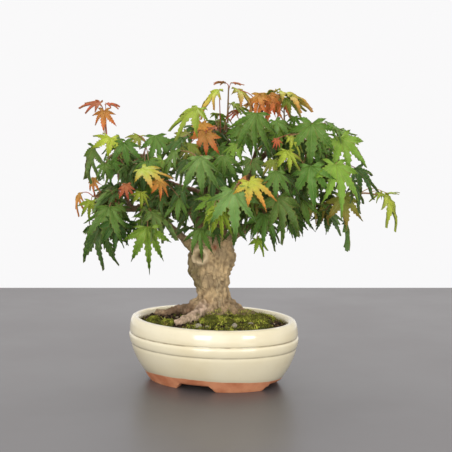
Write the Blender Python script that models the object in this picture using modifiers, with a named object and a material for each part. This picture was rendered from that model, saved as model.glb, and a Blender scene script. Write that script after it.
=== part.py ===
# Bonsai Japanese maple in an oval glazed pot.
# World frame: metres, +Z up, +X along the pot's long side, -Y towards its front long side.
# The plan of the tree is written in the tree's own front frame, in millimetres:
# (to the right, towards the viewer, above the table), turned by BEST_SIDE about the pot's axis.
import math

import bmesh
import bpy
from mathutils import Matrix, Vector
from mathutils.bvhtree import BVHTree

MM = 0.001
WELD = 0.00001               # points closer than this are one (metres)
GAP = 0.3                    # room left between neighbouring solids
BEST_SIDE = math.radians(22.5)   # how far the tree's best side is turned from the pot's front
POT_CENTRE = (-16.75, -1.5)   # puts the middle of the whole plant over the origin

# pot: every level is an oval, rho deep to the front and rho + OVAL to the side
OVAL = 21.0
OVAL_CORE = 30.0             # inside this rho the oval keeps one ratio
POT_SIDES = 40
POT_HEIGHT = 62.0
FOOT_RHO = 43.5
FOOT_INNER_RHO = 36.0
RECESS_HEIGHT = 6.0
FLOOR_HEIGHT = 12.5
WALL_RHO = 52.5              # inside of the wall at the rim
DRAIN_RADIUS = 7.0
DRAIN_X = 32.0
FOOT_CUT_HEIGHT = 5.8
FOOT_CUT_FRONT = (19.5, 14.0)    # half widths at the table and at the top
FOOT_CUT_END = (19.0, 14.0)
SCREEN_RADIUS = 10.5
SCREEN_THICK = 0.9
CLIP_WIRE = 0.6

SOIL_EDGE = 55.0             # height of the soil at the wall
SOIL_DOME = 9.0
ROOT_ROOM = 0.8              # room round a root where it lies in the soil
TRUNK_ROOM = 1.2             # room between trunk base and the soil it stands in

# how far a leaf may give way to its neighbours: toward the viewer, up, and a turn in degrees
GIVE = [(toward, up, turn) for toward in (0, 3, -3, 7, -7, 11) for up in (0, 3, -3) for turn in (0, 15, -15)]
LEAF_CUT = 33.0              # leaves shorter than this have plain lobes
LEAF_THICK = 1.1
PETIOLE = 0.45
TWIG = 0.85

# a palmate leaf: lobes as (degrees from the middle lobe, length against the whole leaf)
LOBES = ((-88, 0.6), (-42, 0.9), (0, 1.0), (42, 0.9), (88, 0.6))
NOTCH_SIDE = 22              # degrees from a lobe's middle to the notch after it
OUTER_SIDE = 25              # and to the leaf's heel
TOOTH_SIDE = 12              # shoulders of a big leaf's lobe
SHOULDER = 0.62
NOTCH_REACH = 0.3
HEEL_REACH = 0.1
CURL = 0.16                  # how far the tips fall, against the leaf's length

# stations of the trunk: right, toward, up, half width, half depth
TRUNK = [
    (3, -8, 61, 25, 19), (3, -8, 66, 22.5, 17), (2, -8, 72, 19, 15), (1, -8, 79, 16, 13.5),
    (0, -8, 88, 15, 13), (-1, -8, 97, 16.5, 13.5), (-2, -8, 106, 18.5, 14.5),
    (-2, -8, 115, 20, 15.5), (-2, -8, 124, 20.5, 15), (-1, -8, 131, 17, 13),
    (0, -8, 137, 11, 9), (1, -8, 141, 5, 4),
]

# limbs and roots: name, then (right, toward, up, radius) along the wood
LIMBS = {
    "upper left": [(-6, -8, 128, 8), (-12, -9, 148, 6.5), (-20, -9, 166, 5.2), (-31, -6, 177, 4.6),
                   (-43, -1, 180, 4.1), (-60, 4, 172, 3.6), (-77, 6, 168, 3), (-95, 7, 170, 2.3),
                   (-108, 6, 173, 1.5)],
    "high left": [(-60, 4, 172, 2.4), (-66, 4, 184, 2.0), (-70, 5, 200, 1.4)],
    "outer left": [(-77, 6, 168, 2.2), (-84, 9, 182, 1.7), (-88, 13, 194, 1.2)],
    "lower left": [(-12, -4, 126, 6), (-26, 2, 137, 4.2), (-37, 7, 147, 3.4), (-46, 12, 158, 2.6),
                   (-57, 18, 168, 1.8), (-70, 22, 173, 1.3)],
    "right": [(9, -6, 128, 7), (18, 0, 140, 5), (31, 5, 149, 4.2), (49, 8, 157, 3.6),
              (70, 7, 163, 3.1), (95, 3, 169, 2.4), (118, -1, 174, 1.6), (132, -6, 178, 1.1)],
    "right spur": [(70, 7, 163, 2.2), (80, 4, 176, 1.7), (92, 4, 192, 1.4), (102, 4, 205, 1.1)],
    "upper right": [(3, -8, 134, 8), (10, -10, 152, 6.4), (20, -9, 174, 5), (33, -6, 197, 3.9),
                    (44, -4, 212, 3), (55, -1, 222, 2.2), (66, -2, 230, 1.6)],
    "crown left": [(33, -6, 197, 2.6), (38, -6, 211, 2.1), (42, -5, 224, 1.5)],
    "shoulder right": [(14, -10, 160, 4.4), (30, -14, 171, 3.6), (50, -15, 181, 3), (72, -12, 190, 2.5),
                       (90, -8, 201, 2), (104, -4, 214, 1.4)],
    "leader": [(-1, -8, 132, 8), (0, -8, 155, 6.2), (3, -9, 178, 4.8), (6, -10, 200, 3.6),
               (10, -11, 220, 2.4), (13, -9, 246, 1.5)],
    "leader fork": [(6, -10, 200, 2.2), (2, -10, 212, 1.7), (-2, -7, 224, 1.3)],
    "leader right": [(6, -10, 200, 2.2), (15, -10, 210, 1.9), (22, -9, 222, 1.4)],
    "front": [(0, -2, 130, 6), (-2, 8, 150, 4.2), (-5, 14, 172, 3), (-7, 18, 194, 1.8)],
    "front right": [(-2, 8, 150, 2.6), (12, 17, 164, 2.4), (30, 21, 178, 1.9), (54, 21, 184, 1.3)],
    "front left": [(-5, 14, 172, 2.2), (-22, 17, 178, 1.8), (-41, 16, 181, 1.3)],
    "back": [(0, -13, 130, 7), (-3, -26, 152, 5), (-7, -42, 174, 3.8), (-10, -58, 190, 2.6),
             (-12, -72, 200, 1.6)],
    "back right": [(-3, -26, 152, 3.4), (18, -38, 168, 3), (42, -46, 182, 2.4), (64, -50, 192, 1.6)],
    "back left": [(-7, -42, 174, 2.8), (-28, -48, 182, 2.3), (-50, -46, 188, 1.6)],
    "front root": [(-8, 4, 78, 6), (-15, 12, 69, 5), (-25, 20, 65.5, 4.4), (-35, 27, 63.5, 3.2)],
    "left root": [(-12, -6, 76, 6), (-26, -8, 69.5, 5), (-42, -11, 66.5, 4), (-56, -15, 64, 2.6)],
    "right root": [(12, -4, 74, 7), (24, 0, 68.5, 5.4), (38, 5, 65.5, 3.6)],
    "back root": [(4, -16, 75, 6), (10, -27, 69, 4.6), (16, -36, 66, 3)],
}

# Shoots: (twig start, twig end, leaves). A leaf is its junction, the length of its middle lobe,
# where it points (0 to the viewer, 90 to the right) and how far it hangs below level.
SHOOTS = {
    "crest_far_left": ((-97, 8, 203), (-102, 8, 260), [
        ((-105, 8, 267), 20, -90, 2), ((-100, 8, 267), 15, 90, 0), ((-101, 12, 261), 20, -15, 72)]),
    "high_left": ((-88, 14, 196), (-91, 18, 226), [
        ((-94, 30, 237), 25, -10, 48), ((-111, 8, 228), 38, -75, 72), ((-81, 34, 233), 27, 15, 62),
        ((-99, 30, 213), 18, -20, 62)]),
    "shoulder_left": ((-70, 5, 202), (-62, 10, 228), [
        ((-70, 0, 237), 20, -30, 40), ((-53, 14, 238), 34, 35, 68), ((-59, 32, 216), 26, 5, 42),
        ((-62, 36, 211), 34, 75, 22)]),
    "tip_left": ((-104, 10, 176), (-113, 8, 180), [
        ((-125, 4, 183), 20, -55, 58), ((-114, 16, 177), 21, -20, 66), ((-112, 2, 197), 17, -40, 68),
        ((-90, 26, 186), 27, -55, 32)]),
    "skirt_left": ((-85, 14, 172), (-93, 30, 175), [
        ((-94, 46, 175), 44, -28, 68), ((-103, 34, 155), 44, -42, 76), ((-89, 50, 162), 30, 5, 74),
        ((-79, 38, 195), 17, 0, 76)]),
    "low_left": ((-64, 22, 174), (-58, 50, 172), [
        ((-58, 72, 160), 40, 2, 76), ((-56, 56, 172), 38, 42, 44), ((-73, 26, 159), 24, -40, 58),
        ((-65, 50, 189), 18, 0, 58)]),
    "heart_left": ((-43, 18, 182), (-49, 48, 198), [
        ((-63, 68, 212), 31, 62, 22), ((-48, 60, 200), 17, 15, 62), ((-28, 42, 193), 28, -35, 40),
        ((-42, 36, 174), 30, -30, 50)]),
    "crest_west": ((-2, -6, 226), (-5, 4, 240), [
        ((-13, 26, 264), 37, -55, 38), ((-10, 20, 250), 18, -15, 68), ((-6, 30, 241), 24, -5, 72),
        ((-24, 8, 240), 26, -60, 40), ((-28, 16, 236), 36, -52, 48)]),
    "crest_fork": ((10, -12, 224), (5, -8, 242), [
        ((3, -4, 245), 13, -60, 12), ((6, 2, 280), 34, -74, 18), ((17, 0, 267), 22, 70, 28)]),
    "crest_leader": ((14, -9, 248), (15, -6, 283), [
        ((12, -6, 286), 12, -90, -12), ((17, -6, 286), 12, 90, -6), ((26, 2, 260), 16, -80, 14),
        ((27, 30, 249), 30, -28, 68)]),
    "crest_crown": ((43, -4, 226), (47, 2, 260), [
        ((23, 10, 281), 28, 68, 12), ((56, -4, 277), 32, -78, -12), ((52, 18, 275), 23, -12, 62),
        ((40, 54, 261), 44, -8, 76)]),
    "crest_east": ((68, -3, 232), (67, 2, 264), [
        ((60, 14, 276), 26, 25, 58), ((62, 2, 278), 40, 84, 4), ((68, 16, 273), 26, 52, 38),
        ((58, 34, 253), 24, 50, 42), ((76, 6, 255), 15, 10, 68)]),
    "high_right": ((86, 4, 206), (90, 42, 238), [
        ((90, 56, 252), 39, 2, 78), ((106, 26, 251), 27, 52, 40), ((70, 54, 240), 20, 52, 44),
        ((58, 56, 238), 11, 5, 70)]),
    "outer_right": ((105, -3, 216), (118, 8, 232), [
        ((115, 0, 242), 27, 86, 18), ((118, 32, 237), 38, 44, 68), ((129, 6, 228), 22, 80, 42),
        ((110, -20, 217), 22, -20, 50)]),
    "face_right": ((80, 14, 190), (87, 50, 207), [
        ((89, 62, 214), 38, 0, 78), ((67, 62, 228), 24, 10, 58), ((80, 34, 202), 24, -30, 52),
        ((55, 60, 219), 19, -30, 60)]),
    "shoulder_right": ((103, 6, 206), (119, 20, 210), [
        ((112, 50, 214), 46, 34, 62), ((133, 18, 208), 34, 60, 50), ((128, 36, 198), 30, 45, 62)]),
    "reach_right": ((133, -6, 179), (162, -18, 178), [
        ((166, -18, 177), 35, 72, 58), ((163, -16, 180), 14, -80, 20), ((169, -24, 179), 13, 120, -10)]),
    "skirt_right": ((109, 3, 173), (120, 10, 169), [
        ((122, 20, 181), 31, 20, 72), ((124, -2, 162), 40, 82, 74), ((104, 14, 172), 20, 40, 60)]),
    "face_left": ((-7, 19, 195), (-6, 66, 216), [
        ((-10, 86, 225), 40, 0, 74), ((10, 72, 224), 27, 15, 68), ((-23, 56, 219), 26, -35, 60),
        ((1, 52, 207), 28, 0, 66)]),
    "face_centre": ((31, 22, 180), (31, 66, 198), [
        ((33, 82, 202), 31, 42, 38), ((30, 72, 206), 17, -62, 28), ((19, 88, 195), 42, 0, 74),
        ((39, 58, 186), 20, 20, 60)]),
    "south_right": ((56, 22, 185), (58, 60, 197), [
        ((57, 76, 211), 30, 2, 74), ((59, 68, 186), 43, 24, 68), ((74, 44, 194), 26, 30, 60),
        ((46, 48, 198), 26, -30, 60)]),
    "south_centre": ((2, 16, 170), (5, 62, 183), [
        ((1, 60, 184), 26, -22, 50), ((2, 76, 179), 24, -48, 58), ((7, 80, 177), 29, 14, 72),
        ((-12, 48, 183), 36, -55, 44)]),
    "trunk_sprig": ((-2, 12, 152), (-8, 40, 156), [
        ((-11, 48, 155), 30, 0, 66), ((-22, 28, 152), 20, -75, 8), ((1, 38, 154), 20, 50, 50)]),
    "low_right": ((44, 12, 159), (48, 44, 171), [
        ((47, 60, 170), 32, 0, 60), ((66, 52, 174), 30, 28, 62), ((26, 30, 170), 17, 0, 66),
        ((41, 28, 142), 17, 52, 54)]),
    "under_right": ((80, 8, 167), (84, 34, 178), [
        ((82, 42, 181), 28, 22, 58), ((91, 26, 174), 18, 46, 58), ((74, 36, 168), 26, 10, 68)]),
    "back_top": ((10, -14, 222), (4, -38, 240), [
        ((2, -48, 248), 32, 178, 58), ((-14, -40, 244), 26, -125, 50), ((18, -42, 240), 28, 130, 52),
        ((4, -30, 256), 22, 150, 20)]),
    "back_centre": ((-12, -73, 202), (-10, -88, 210), [
        ((-10, -98, 206), 36, 180, 70), ((-26, -88, 208), 30, -130, 60), ((8, -88, 212), 32, 135, 58),
        ((-10, -84, 222), 24, 170, 30)]),
    "back_low": ((-9, -52, 182), (-4, -74, 172), [
        ((-4, -84, 168), 38, 178, 74), ((-20, -70, 168), 30, -140, 66), ((14, -68, 170), 30, 140, 64)]),
    "back_right": ((65, -50, 194), (78, -62, 202), [
        ((84, -70, 202), 36, 140, 62), ((92, -52, 206), 30, 100, 54), ((70, -72, 198), 32, 175, 66),
        ((76, -56, 214), 24, 130, 30)]),
    "back_right_low": ((42, -47, 180), (48, -66, 172), [
        ((50, -76, 168), 38, 170, 74), ((64, -62, 170), 30, 110, 62), ((34, -68, 172), 28, -165, 66)]),
    "back_left": ((-51, -46, 189), (-66, -56, 196), [
        ((-74, -62, 196), 36, -140, 62), ((-78, -44, 198), 30, -100, 56), ((-60, -68, 194), 34, -175, 68),
        ((-64, -52, 208), 24, -130, 30)]),
    "back_left_low": ((-30, -48, 181), (-42, -64, 172), [
        ((-46, -72, 168), 38, -160, 74), ((-60, -54, 170), 30, -110, 62), ((-30, -72, 174), 28, 165, 66)]),
    "back_crown": ((56, -3, 221), (58, -30, 238), [
        ((58, -40, 242), 34, 172, 60), ((74, -30, 244), 28, 110, 48), ((42, -36, 244), 28, -150, 50)]),
    "back_high_left": ((-70, 3, 198), (-76, -22, 214), [
        ((-80, -32, 214), 34, -160, 64), ((-92, -14, 214), 28, -95, 56), ((-66, -30, 216), 26, 165, 58)]),
    "back_shoulder": ((92, -9, 200), (100, -34, 206), [
        ((104, -44, 206), 34, 150, 64), ((116, -30, 208), 30, 95, 54), ((88, -42, 208), 26, -175, 58)]),
}

MOSS_RIM = 0.7               # thickness of a cushion at its edge

# moss cushions: right, toward, half length, half width, height, turn
MOSS = [
    (3, 24, 17, 10.5, 5.5, 5), (39, 17, 14, 9.5, 5, -20), (52, -3, 10, 9, 4, 30), (-44, 20, 10, 7, 4, 15),
    (-58, 2, 9, 7, 3.5, 80), (-34, -30, 15, 8, 4.5, -10), (35, -29, 11, 7, 4, 12),
]
# loose stones: right, toward, half length, turn
STONES = [(-13, 37, 3.6, 20), (20, 38, 3.2, 70), (36, 33, 2.6, -15), (-5, 38.5, 2.2, 50)]


def place(right, toward, up):
    """Millimetres in the tree's front frame to metres in the world."""
    x = right * math.cos(BEST_SIDE) + toward * math.sin(BEST_SIDE) + POT_CENTRE[0]
    y = right * math.sin(BEST_SIDE) - toward * math.cos(BEST_SIDE) + POT_CENTRE[1]
    return Vector((x, y, up)) * MM


def oval(x, y):
    """A round outline point in millimetres, drawn out to the pot's oval about the pot's middle."""
    rho = max(math.hypot(x, y), OVAL_CORE)
    return x * (1 + OVAL / rho), y


def clear_scene():
    for item in list(bpy.data.objects):
        bpy.data.objects.remove(item, do_unlink=True)


def new_collection(name):
    collection = bpy.data.collections.new(name)
    bpy.context.scene.collection.children.link(collection)
    return collection


def new_material(name, colour, roughness, metallic=0.0):
    material = bpy.data.materials.new(name)
    material.use_nodes = True
    shader = material.node_tree.nodes["Principled BSDF"]
    shader.inputs["Base Color"].default_value = (*colour, 1.0)
    shader.inputs["Roughness"].default_value = roughness
    shader.inputs["Metallic"].default_value = metallic
    return material


def new_object(name, mesh, collection, material=None):
    item = bpy.data.objects.new(name, mesh)
    collection.objects.link(item)
    if material:
        item.data.materials.clear()
        item.data.materials.append(material)
    return item


def mesh_from(bm, name):
    mesh = bpy.data.meshes.new(name)
    bm.to_mesh(mesh)
    bm.free()
    return mesh


def face_out(bm):
    """Turn every face outwards, from the places where the points are now."""
    bm.normal_update()
    bmesh.ops.recalc_face_normals(bm, faces=bm.faces)


def tube(name, points, radii, collection, sides_level, smooth=True):
    """A round rod through the points (metres), with its own radius at each, as a welded mesh."""
    curve = bpy.data.curves.new(name, "CURVE")
    curve.dimensions = "3D"
    curve.bevel_depth = 1.0
    curve.bevel_resolution = sides_level
    curve.use_fill_caps = True
    spline = curve.splines.new("POLY")
    spline.points.add(len(points) - 1)
    for point, where, radius in zip(spline.points, points, radii):
        point.co = (*where, 1.0)
        point.radius = radius
    rod = new_object(name, curve, collection)
    bpy.context.view_layer.update()
    shape = rod.evaluated_get(bpy.context.evaluated_depsgraph_get())
    mesh = bpy.data.meshes.new_from_object(shape)
    bpy.data.objects.remove(rod, do_unlink=True)
    bm = bmesh.new()
    bm.from_mesh(mesh)
    bmesh.ops.remove_doubles(bm, verts=bm.verts, dist=WELD)
    face_out(bm)
    bm.to_mesh(mesh)
    bm.free()
    if smooth:
        mesh.shade_smooth()
    return new_object(name, mesh, collection)


def soften(points):
    """Cut the corners of a route: every stretch keeps its quarter and three-quarter points."""
    rounded = [points[0]]
    for a, b in zip(points, points[1:]):
        rounded += [a.lerp(b, 0.25), a.lerp(b, 0.75)]
    return rounded + [points[-1]]


def union(base, others, helpers):
    """Join solids that run into each other into one closed body, and drop the pieces."""
    pieces = bpy.data.collections.new(base.name + " pieces")
    helpers.children.link(pieces)
    for piece in others:
        for holder in list(piece.users_collection):
            holder.objects.unlink(piece)
        pieces.objects.link(piece)
    join = base.modifiers.new("Join", "BOOLEAN")
    join.operation = "UNION"
    join.operand_type = "COLLECTION"
    join.collection = pieces
    bpy.context.view_layer.update()
    shape = base.evaluated_get(bpy.context.evaluated_depsgraph_get())
    mesh = bpy.data.meshes.new_from_object(shape)
    base.modifiers.clear()
    base.data = mesh
    for piece in others:
        bpy.data.objects.remove(piece, do_unlink=True)
    bpy.data.collections.remove(pieces)


def cut(base, cutter):
    cutter.hide_render = True
    cutter.display_type = "WIRE"
    hole = base.modifiers.new("Cut " + cutter.name, "BOOLEAN")
    hole.operation = "DIFFERENCE"
    hole.object = cutter


def turned(name, profile, sides, collection, material=None):
    """A closed turned body: the profile runs from the axis down its outer side and back."""
    bm = bmesh.new()
    ring = [bm.verts.new((rho * MM, 0, up * MM)) for rho, up in profile]
    for a, b in zip(ring, ring[1:]):
        bm.edges.new((a, b))
    item = new_object(name, mesh_from(bm, name), collection, material)
    screw = item.modifiers.new("Turn", "SCREW")
    screw.steps = sides
    screw.render_steps = sides
    screw.use_merge_vertices = True
    screw.merge_threshold = 0.0001
    bpy.context.view_layer.update()
    shape = item.evaluated_get(bpy.context.evaluated_depsgraph_get())
    item.data = bpy.data.meshes.new_from_object(shape)
    item.modifiers.clear()
    bm = bmesh.new()
    bm.from_mesh(item.data)
    bmesh.ops.remove_doubles(bm, verts=bm.verts, dist=WELD)
    face_out(bm)
    for vert in bm.verts:
        x, y = oval(vert.co.x / MM, vert.co.y / MM)
        vert.co.x = (x + POT_CENTRE[0]) * MM
        vert.co.y = (y + POT_CENTRE[1]) * MM
    bm.to_mesh(item.data)
    bm.free()
    item.data.shade_smooth()
    item.data.set_sharp_from_angle(angle=math.radians(35))
    return item


def wedge(name, half_wide, half_narrow, half_long, along_x, helpers):
    """The cutter of a foot gap: wide at the table and narrower at its top, right through."""
    bm = bmesh.new()
    bmesh.ops.create_cube(bm, size=2.0)
    for vert in bm.verts:
        top = vert.co.z > 0
        across = vert.co.y * (half_narrow if top else half_wide)
        run = vert.co.x * half_long
        up = FOOT_CUT_HEIGHT if top else -FOOT_CUT_HEIGHT
        if not top:
            across *= 2 - half_narrow / half_wide
        x, y = (run, across) if along_x else (across, run)
        vert.co = Vector((x + POT_CENTRE[0], y + POT_CENTRE[1], up)) * MM
    face_out(bm)
    return new_object(name, mesh_from(bm, name), helpers)


def plug(name, x, radius, low, high, sides, collection, material=None):
    bm = bmesh.new()
    bmesh.ops.create_cone(bm, cap_ends=True, cap_tris=False, segments=sides, radius1=radius * MM,
                          radius2=radius * MM, depth=(high - low) * MM)
    middle = Vector((x + POT_CENTRE[0], POT_CENTRE[1], (low + high) / 2)) * MM
    bmesh.ops.translate(bm, verts=bm.verts, vec=middle)
    return new_object(name, mesh_from(bm, name), collection, material)


def make_pot(collection, helpers, glaze):
    outside = [(FOOT_RHO, 0), (46.3, 4), (50.2, 10.5), (55.3, 18.8), (59.5, 28), (61.6, 35.6),
               (61.3, 36.8), (63.6, 40), (64.1, 43.4), (61.9, 46.7), (62.9, 48.6), (62.1, 56),
               (60.8, 60.2), (58.6, POT_HEIGHT), (54.6, POT_HEIGHT)]
    inside = [(WALL_RHO, 60), (WALL_RHO, 50), (50.5, 32), (44, 19), (38, FLOOR_HEIGHT + 0.8), (0, FLOOR_HEIGHT)]
    profile = ([(0, FLOOR_HEIGHT)] + inside[-2::-1] + outside[::-1]
               + [(FOOT_INNER_RHO, 0), (FOOT_INNER_RHO - 1.5, RECESS_HEIGHT), (0, RECESS_HEIGHT)])
    pot = turned("pot", profile, POT_SIDES, collection, glaze)
    reach = WALL_RHO + OVAL + 20
    cut(pot, wedge("front foot gap", *FOOT_CUT_FRONT, reach, False, helpers))
    cut(pot, wedge("end foot gap", *FOOT_CUT_END, reach, True, helpers))
    for side in (-1, 1):
        cut(pot, plug(f"drain {side}", side * DRAIN_X, DRAIN_RADIUS, 0, FLOOR_HEIGHT + 5, 20, helpers))
    return pot


def make_screens(collection, mesh_plastic, wire):
    """A mesh disc over each drain hole, held down by a bent wire that rests on it."""
    for name, side in (("left", -1), ("right", 1)):
        low = FLOOR_HEIGHT + GAP + 0.8
        plug(f"drain_screen_{name}", side * DRAIN_X, SCREEN_RADIUS, low, low + SCREEN_THICK, 20,
             collection, mesh_plastic)
        over = low + SCREEN_THICK + GAP + CLIP_WIRE
        span = SCREEN_RADIUS * 0.6
        route = [(-span, over + 3), (-span, over), (span, over), (span, over + 3)]
        points = [Vector((side * DRAIN_X + x + POT_CENTRE[0], POT_CENTRE[1], up)) * MM for x, up in route]
        clip = tube(f"screen_clip_{name}", points, [CLIP_WIRE * MM] * 4, collection, 1)
        clip.data.materials.append(wire)


def soil_height(rho):
    """The mound: highest in the middle, falling to the wall of the pot."""
    return SOIL_EDGE + SOIL_DOME * max(0.0, 1 - (rho / WALL_RHO) ** 2) ** 0.8


def make_soil(collection, helpers, earth):
    rings = [0, 12, 22, 32, 41, 48, WALL_RHO - GAP - 0.2]
    top = [(rho, soil_height(rho)) for rho in rings]
    body = [(WALL_RHO - 0.6, 50), (49.8, 32), (43.2, 19.6), (36, 18.6), (0, 18.6)]
    soil = turned("soil", top + body, 32, collection, earth)
    cut(soil, make_trunk_base("trunk socket", TRUNK_ROOM, helpers))
    for name, stations in LIMBS.items():
        if name.endswith("root"):
            cut(soil, limb(name + " groove", stations, ROOT_ROOM, helpers))
    return soil


def lump(angle, up):
    """Old wood is uneven: slow swellings that wander round the trunk with height."""
    return (1 + 0.055 * math.sin(3 * angle + up / 9.0) + 0.04 * math.sin(5 * angle - up / 6.0)
            + 0.03 * math.sin(2 * angle + up / 15.0))


def make_trunk_base(name, room, collection, sides=18):
    """The lofted trunk, or with room around it the socket that it stands in."""
    bm = bmesh.new()
    rings = []
    for right, toward, up, wide, deep in TRUNK:
        ring = []
        for i in range(sides):
            angle = 2 * math.pi * i / sides
            swell = lump(angle, up)
            r = right + (wide * swell + room) * math.cos(angle)
            t = toward + (deep * swell + room) * math.sin(angle)
            low = room * 2 if up == TRUNK[0][2] else 0
            ring.append(bm.verts.new(place(r, t, up - low)))
        rings.append(ring)
    for low, high in zip(rings, rings[1:]):
        for i in range(sides):
            j = (i + 1) % sides
            bm.faces.new((low[i], low[j], high[j], high[i]))
    bm.faces.new(rings[0])
    bm.faces.new(rings[-1])
    face_out(bm)
    return new_object(name, mesh_from(bm, name), collection)


def limb(name, stations, room, collection):
    """One limb or root, or with room around it the groove that it lies in."""
    stations = [Vector(station) for station in stations]
    if len(stations) < 5:
        stations = soften(stations)
    points = [place(*station[:3]) for station in stations]
    return tube(name, points, [(station[3] + room) * MM for station in stations], collection, 1)


def make_trunk(collection, helpers, wood):
    trunk = make_trunk_base("trunk", 0.0, collection)
    union(trunk, [limb(name, stations, 0.0, helpers) for name, stations in LIMBS.items()], helpers)
    trunk.data.materials.clear()
    trunk.data.materials.append(wood)
    trunk.data.shade_smooth()
    trunk.data.set_sharp_from_angle(angle=math.radians(50))
    return trunk


def leaf_reach(angle, plain):
    """The outline of a palmate leaf: the reach along an angle from its middle lobe."""
    degrees = math.degrees(angle)
    middle, length = min(LOBES, key=lambda lobe: abs((degrees - lobe[0] + 180) % 360 - 180))
    off = abs((degrees - middle + 180) % 360 - 180)
    if off > OUTER_SIDE - 1:
        return HEEL_REACH
    if off < TOOTH_SIDE / 2:
        return length
    if off < TOOTH_SIDE + 1 and not plain:
        return SHOULDER * length
    return NOTCH_REACH


def leaf_angles(plain):
    """Angles of the rim: every lobe has a tip between two notches, and shoulders on a big leaf."""
    angles = [180, LOBES[0][0] - OUTER_SIDE]
    for middle, _ in LOBES:
        last = middle == LOBES[-1][0]
        angles += [middle] if plain else [middle - TOOTH_SIDE, middle, middle + TOOTH_SIDE]
        angles.append(middle + (OUTER_SIDE if last else NOTCH_SIDE))
    return [math.radians(angle) for angle in angles]


def leaf_frame(junction, heading, droop):
    """Where a leaf sits: its middle lobe along the first axis and its upper side along the last."""
    turn = math.radians(heading)
    fall = math.radians(droop)
    start = place(0, 0, 0)
    level = (place(math.sin(turn), math.cos(turn), 0) - start).normalized()
    side = Vector((0, 0, 1)).cross(level)
    along = level * math.cos(fall) - Vector((0, 0, 1)) * math.sin(fall)
    upper = level * math.sin(fall) + Vector((0, 0, 1)) * math.cos(fall)
    frame = Matrix((along, side, upper)).transposed().to_4x4()
    frame.translation = junction
    return frame


def make_leaf(name, junction, length, heading, droop, spare, collection):
    """A flat cone whose rim is drawn out into lobes that curl down towards their tips."""
    plain = length < LEAF_CUT
    angles = leaf_angles(plain)
    bm = bmesh.new()
    bmesh.ops.create_cone(bm, cap_ends=True, cap_tris=True, segments=len(angles), radius1=1.0,
                          radius2=0.0, depth=2.0)
    rim = [vert for vert in bm.verts if math.hypot(vert.co.x, vert.co.y) > 0.5]
    middle = [vert for vert in bm.verts if vert not in rim]
    for i, vert in enumerate(sorted(rim, key=lambda v: math.atan2(v.co.y, v.co.x) % (2 * math.pi))):
        angle = angles[i]
        reach = leaf_reach(angle, plain)
        curl = -CURL * reach ** 2
        vert.co = Vector((reach * math.cos(angle), reach * math.sin(angle), curl)) * length
    thick = LEAF_THICK / 2 + spare
    for vert in middle:
        vert.co = Vector((0, 0, thick if vert.co.z > 0 else -thick))
    face_out(bm)
    bmesh.ops.scale(bm, vec=(MM, MM, MM), verts=bm.verts)
    bmesh.ops.transform(bm, matrix=leaf_frame(junction, heading, droop), verts=bm.verts)
    return new_object(name, mesh_from(bm, name), collection)


def tree_of(item):
    bm = bmesh.new()
    bm.from_mesh(item.data)
    tree = BVHTree.FromBMesh(bm, epsilon=GAP * MM)
    bm.free()
    return tree


def is_free(trees, placed, own):
    for label, tree in placed:
        if label != own and any(tree.overlap(other) for other in trees):
            return False
    return True


def make_leaf_on_stalk(label, start, leaf, placed, helpers):
    """Set one leaf with its stalk; where another shoot is in the way it gives way a little."""
    where, length, heading, droop = leaf
    for toward, up, turn in sorted(GIVE, key=lambda give: abs(give[0]) + abs(give[1]) + abs(give[2]) / 5):
        junction = place(where[0], where[1] + toward, where[2] + up)
        blade = make_leaf("blade", junction, length, heading + turn, droop, 0.25, helpers)
        stalk = tube("stalk", [start, junction], [PETIOLE * MM] * 2, helpers, 0, smooth=False)
        trees = [tree_of(blade), tree_of(stalk)]
        if is_free(trees, placed, label):
            placed += [(label, tree) for tree in trees]
            bpy.data.objects.remove(blade, do_unlink=True)
            blade = make_leaf("blade", junction, length, heading + turn, droop, 0.0, helpers)
            return [stalk, blade]
        bpy.data.objects.remove(blade, do_unlink=True)
        bpy.data.objects.remove(stalk, do_unlink=True)
    return []


def make_twigs(trunk, placed, helpers):
    """Every twig starts just off the wood nearest to its planned start."""
    wood = tree_of(trunk)
    placed.append(("trunk", wood))
    twigs = {}
    for label, (start, end, _) in SHOOTS.items():
        near, normal, _, _ = wood.find_nearest(place(*start))
        foot = near + normal * (GAP + TWIG) * MM
        tip = place(*end)
        route = [foot, foot.lerp(tip, 0.5) + Vector((0, 0, 0.06 * (tip - foot).length)), tip]
        twig = tube("shoot_" + label, route, [TWIG * MM, 0.9 * TWIG * MM, 0.7 * TWIG * MM], helpers, 1)
        tree = tree_of(twig)
        if not is_free([tree], placed, label):
            print("twig meets something:", label)
        placed.append((label, tree))
        twigs[label] = (twig, route)
    return twigs


def make_shoots(trunk, collection, helpers, foliage):
    placed = []
    twigs = make_twigs(trunk, placed, helpers)
    left_out = 0
    for label, (_, _, leaves) in SHOOTS.items():
        twig, route = twigs[label]
        pieces = []
        for i, leaf in enumerate(leaves):
            step = i / max(1, len(leaves) - 1)
            root = route[2].lerp(route[1], 0.05 + 0.8 * step)
            made = make_leaf_on_stalk(label, root, leaf, placed, helpers)
            pieces += made
            if not made:
                left_out += 1
                print("no room for a leaf of", label, i)
        union(twig, pieces, helpers)
        helpers.objects.unlink(twig)
        collection.objects.link(twig)
        twig.data.materials.clear()
        twig.data.materials.append(foliage)
        twig.data.shade_flat()
    print("leaves left out:", left_out)


def make_moss(collection, moss):
    """Low cushions of moss that lie on the mound."""
    for number, (right, toward, long, wide, high, turn) in enumerate(MOSS, 1):
        bm = bmesh.new()
        bmesh.ops.create_uvsphere(bm, u_segments=10, v_segments=6, radius=1.0)
        spin = Matrix.Rotation(math.radians(turn), 3, "Z")
        for vert in bm.verts:
            x, y, z = vert.co
            flat = spin @ Vector((x * long, y * wide, 0))
            r = right + flat.x
            t = toward + flat.y
            level = soil_top(r, t)
            up = level + GAP + MOSS_RIM + (high if z > 0 else MOSS_RIM) * z
            vert.co = place(r, t, up)
        face_out(bm)
        item = new_object(f"moss_{number}", mesh_from(bm, f"moss_{number}"), collection, moss)
        item.data.shade_smooth()


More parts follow.
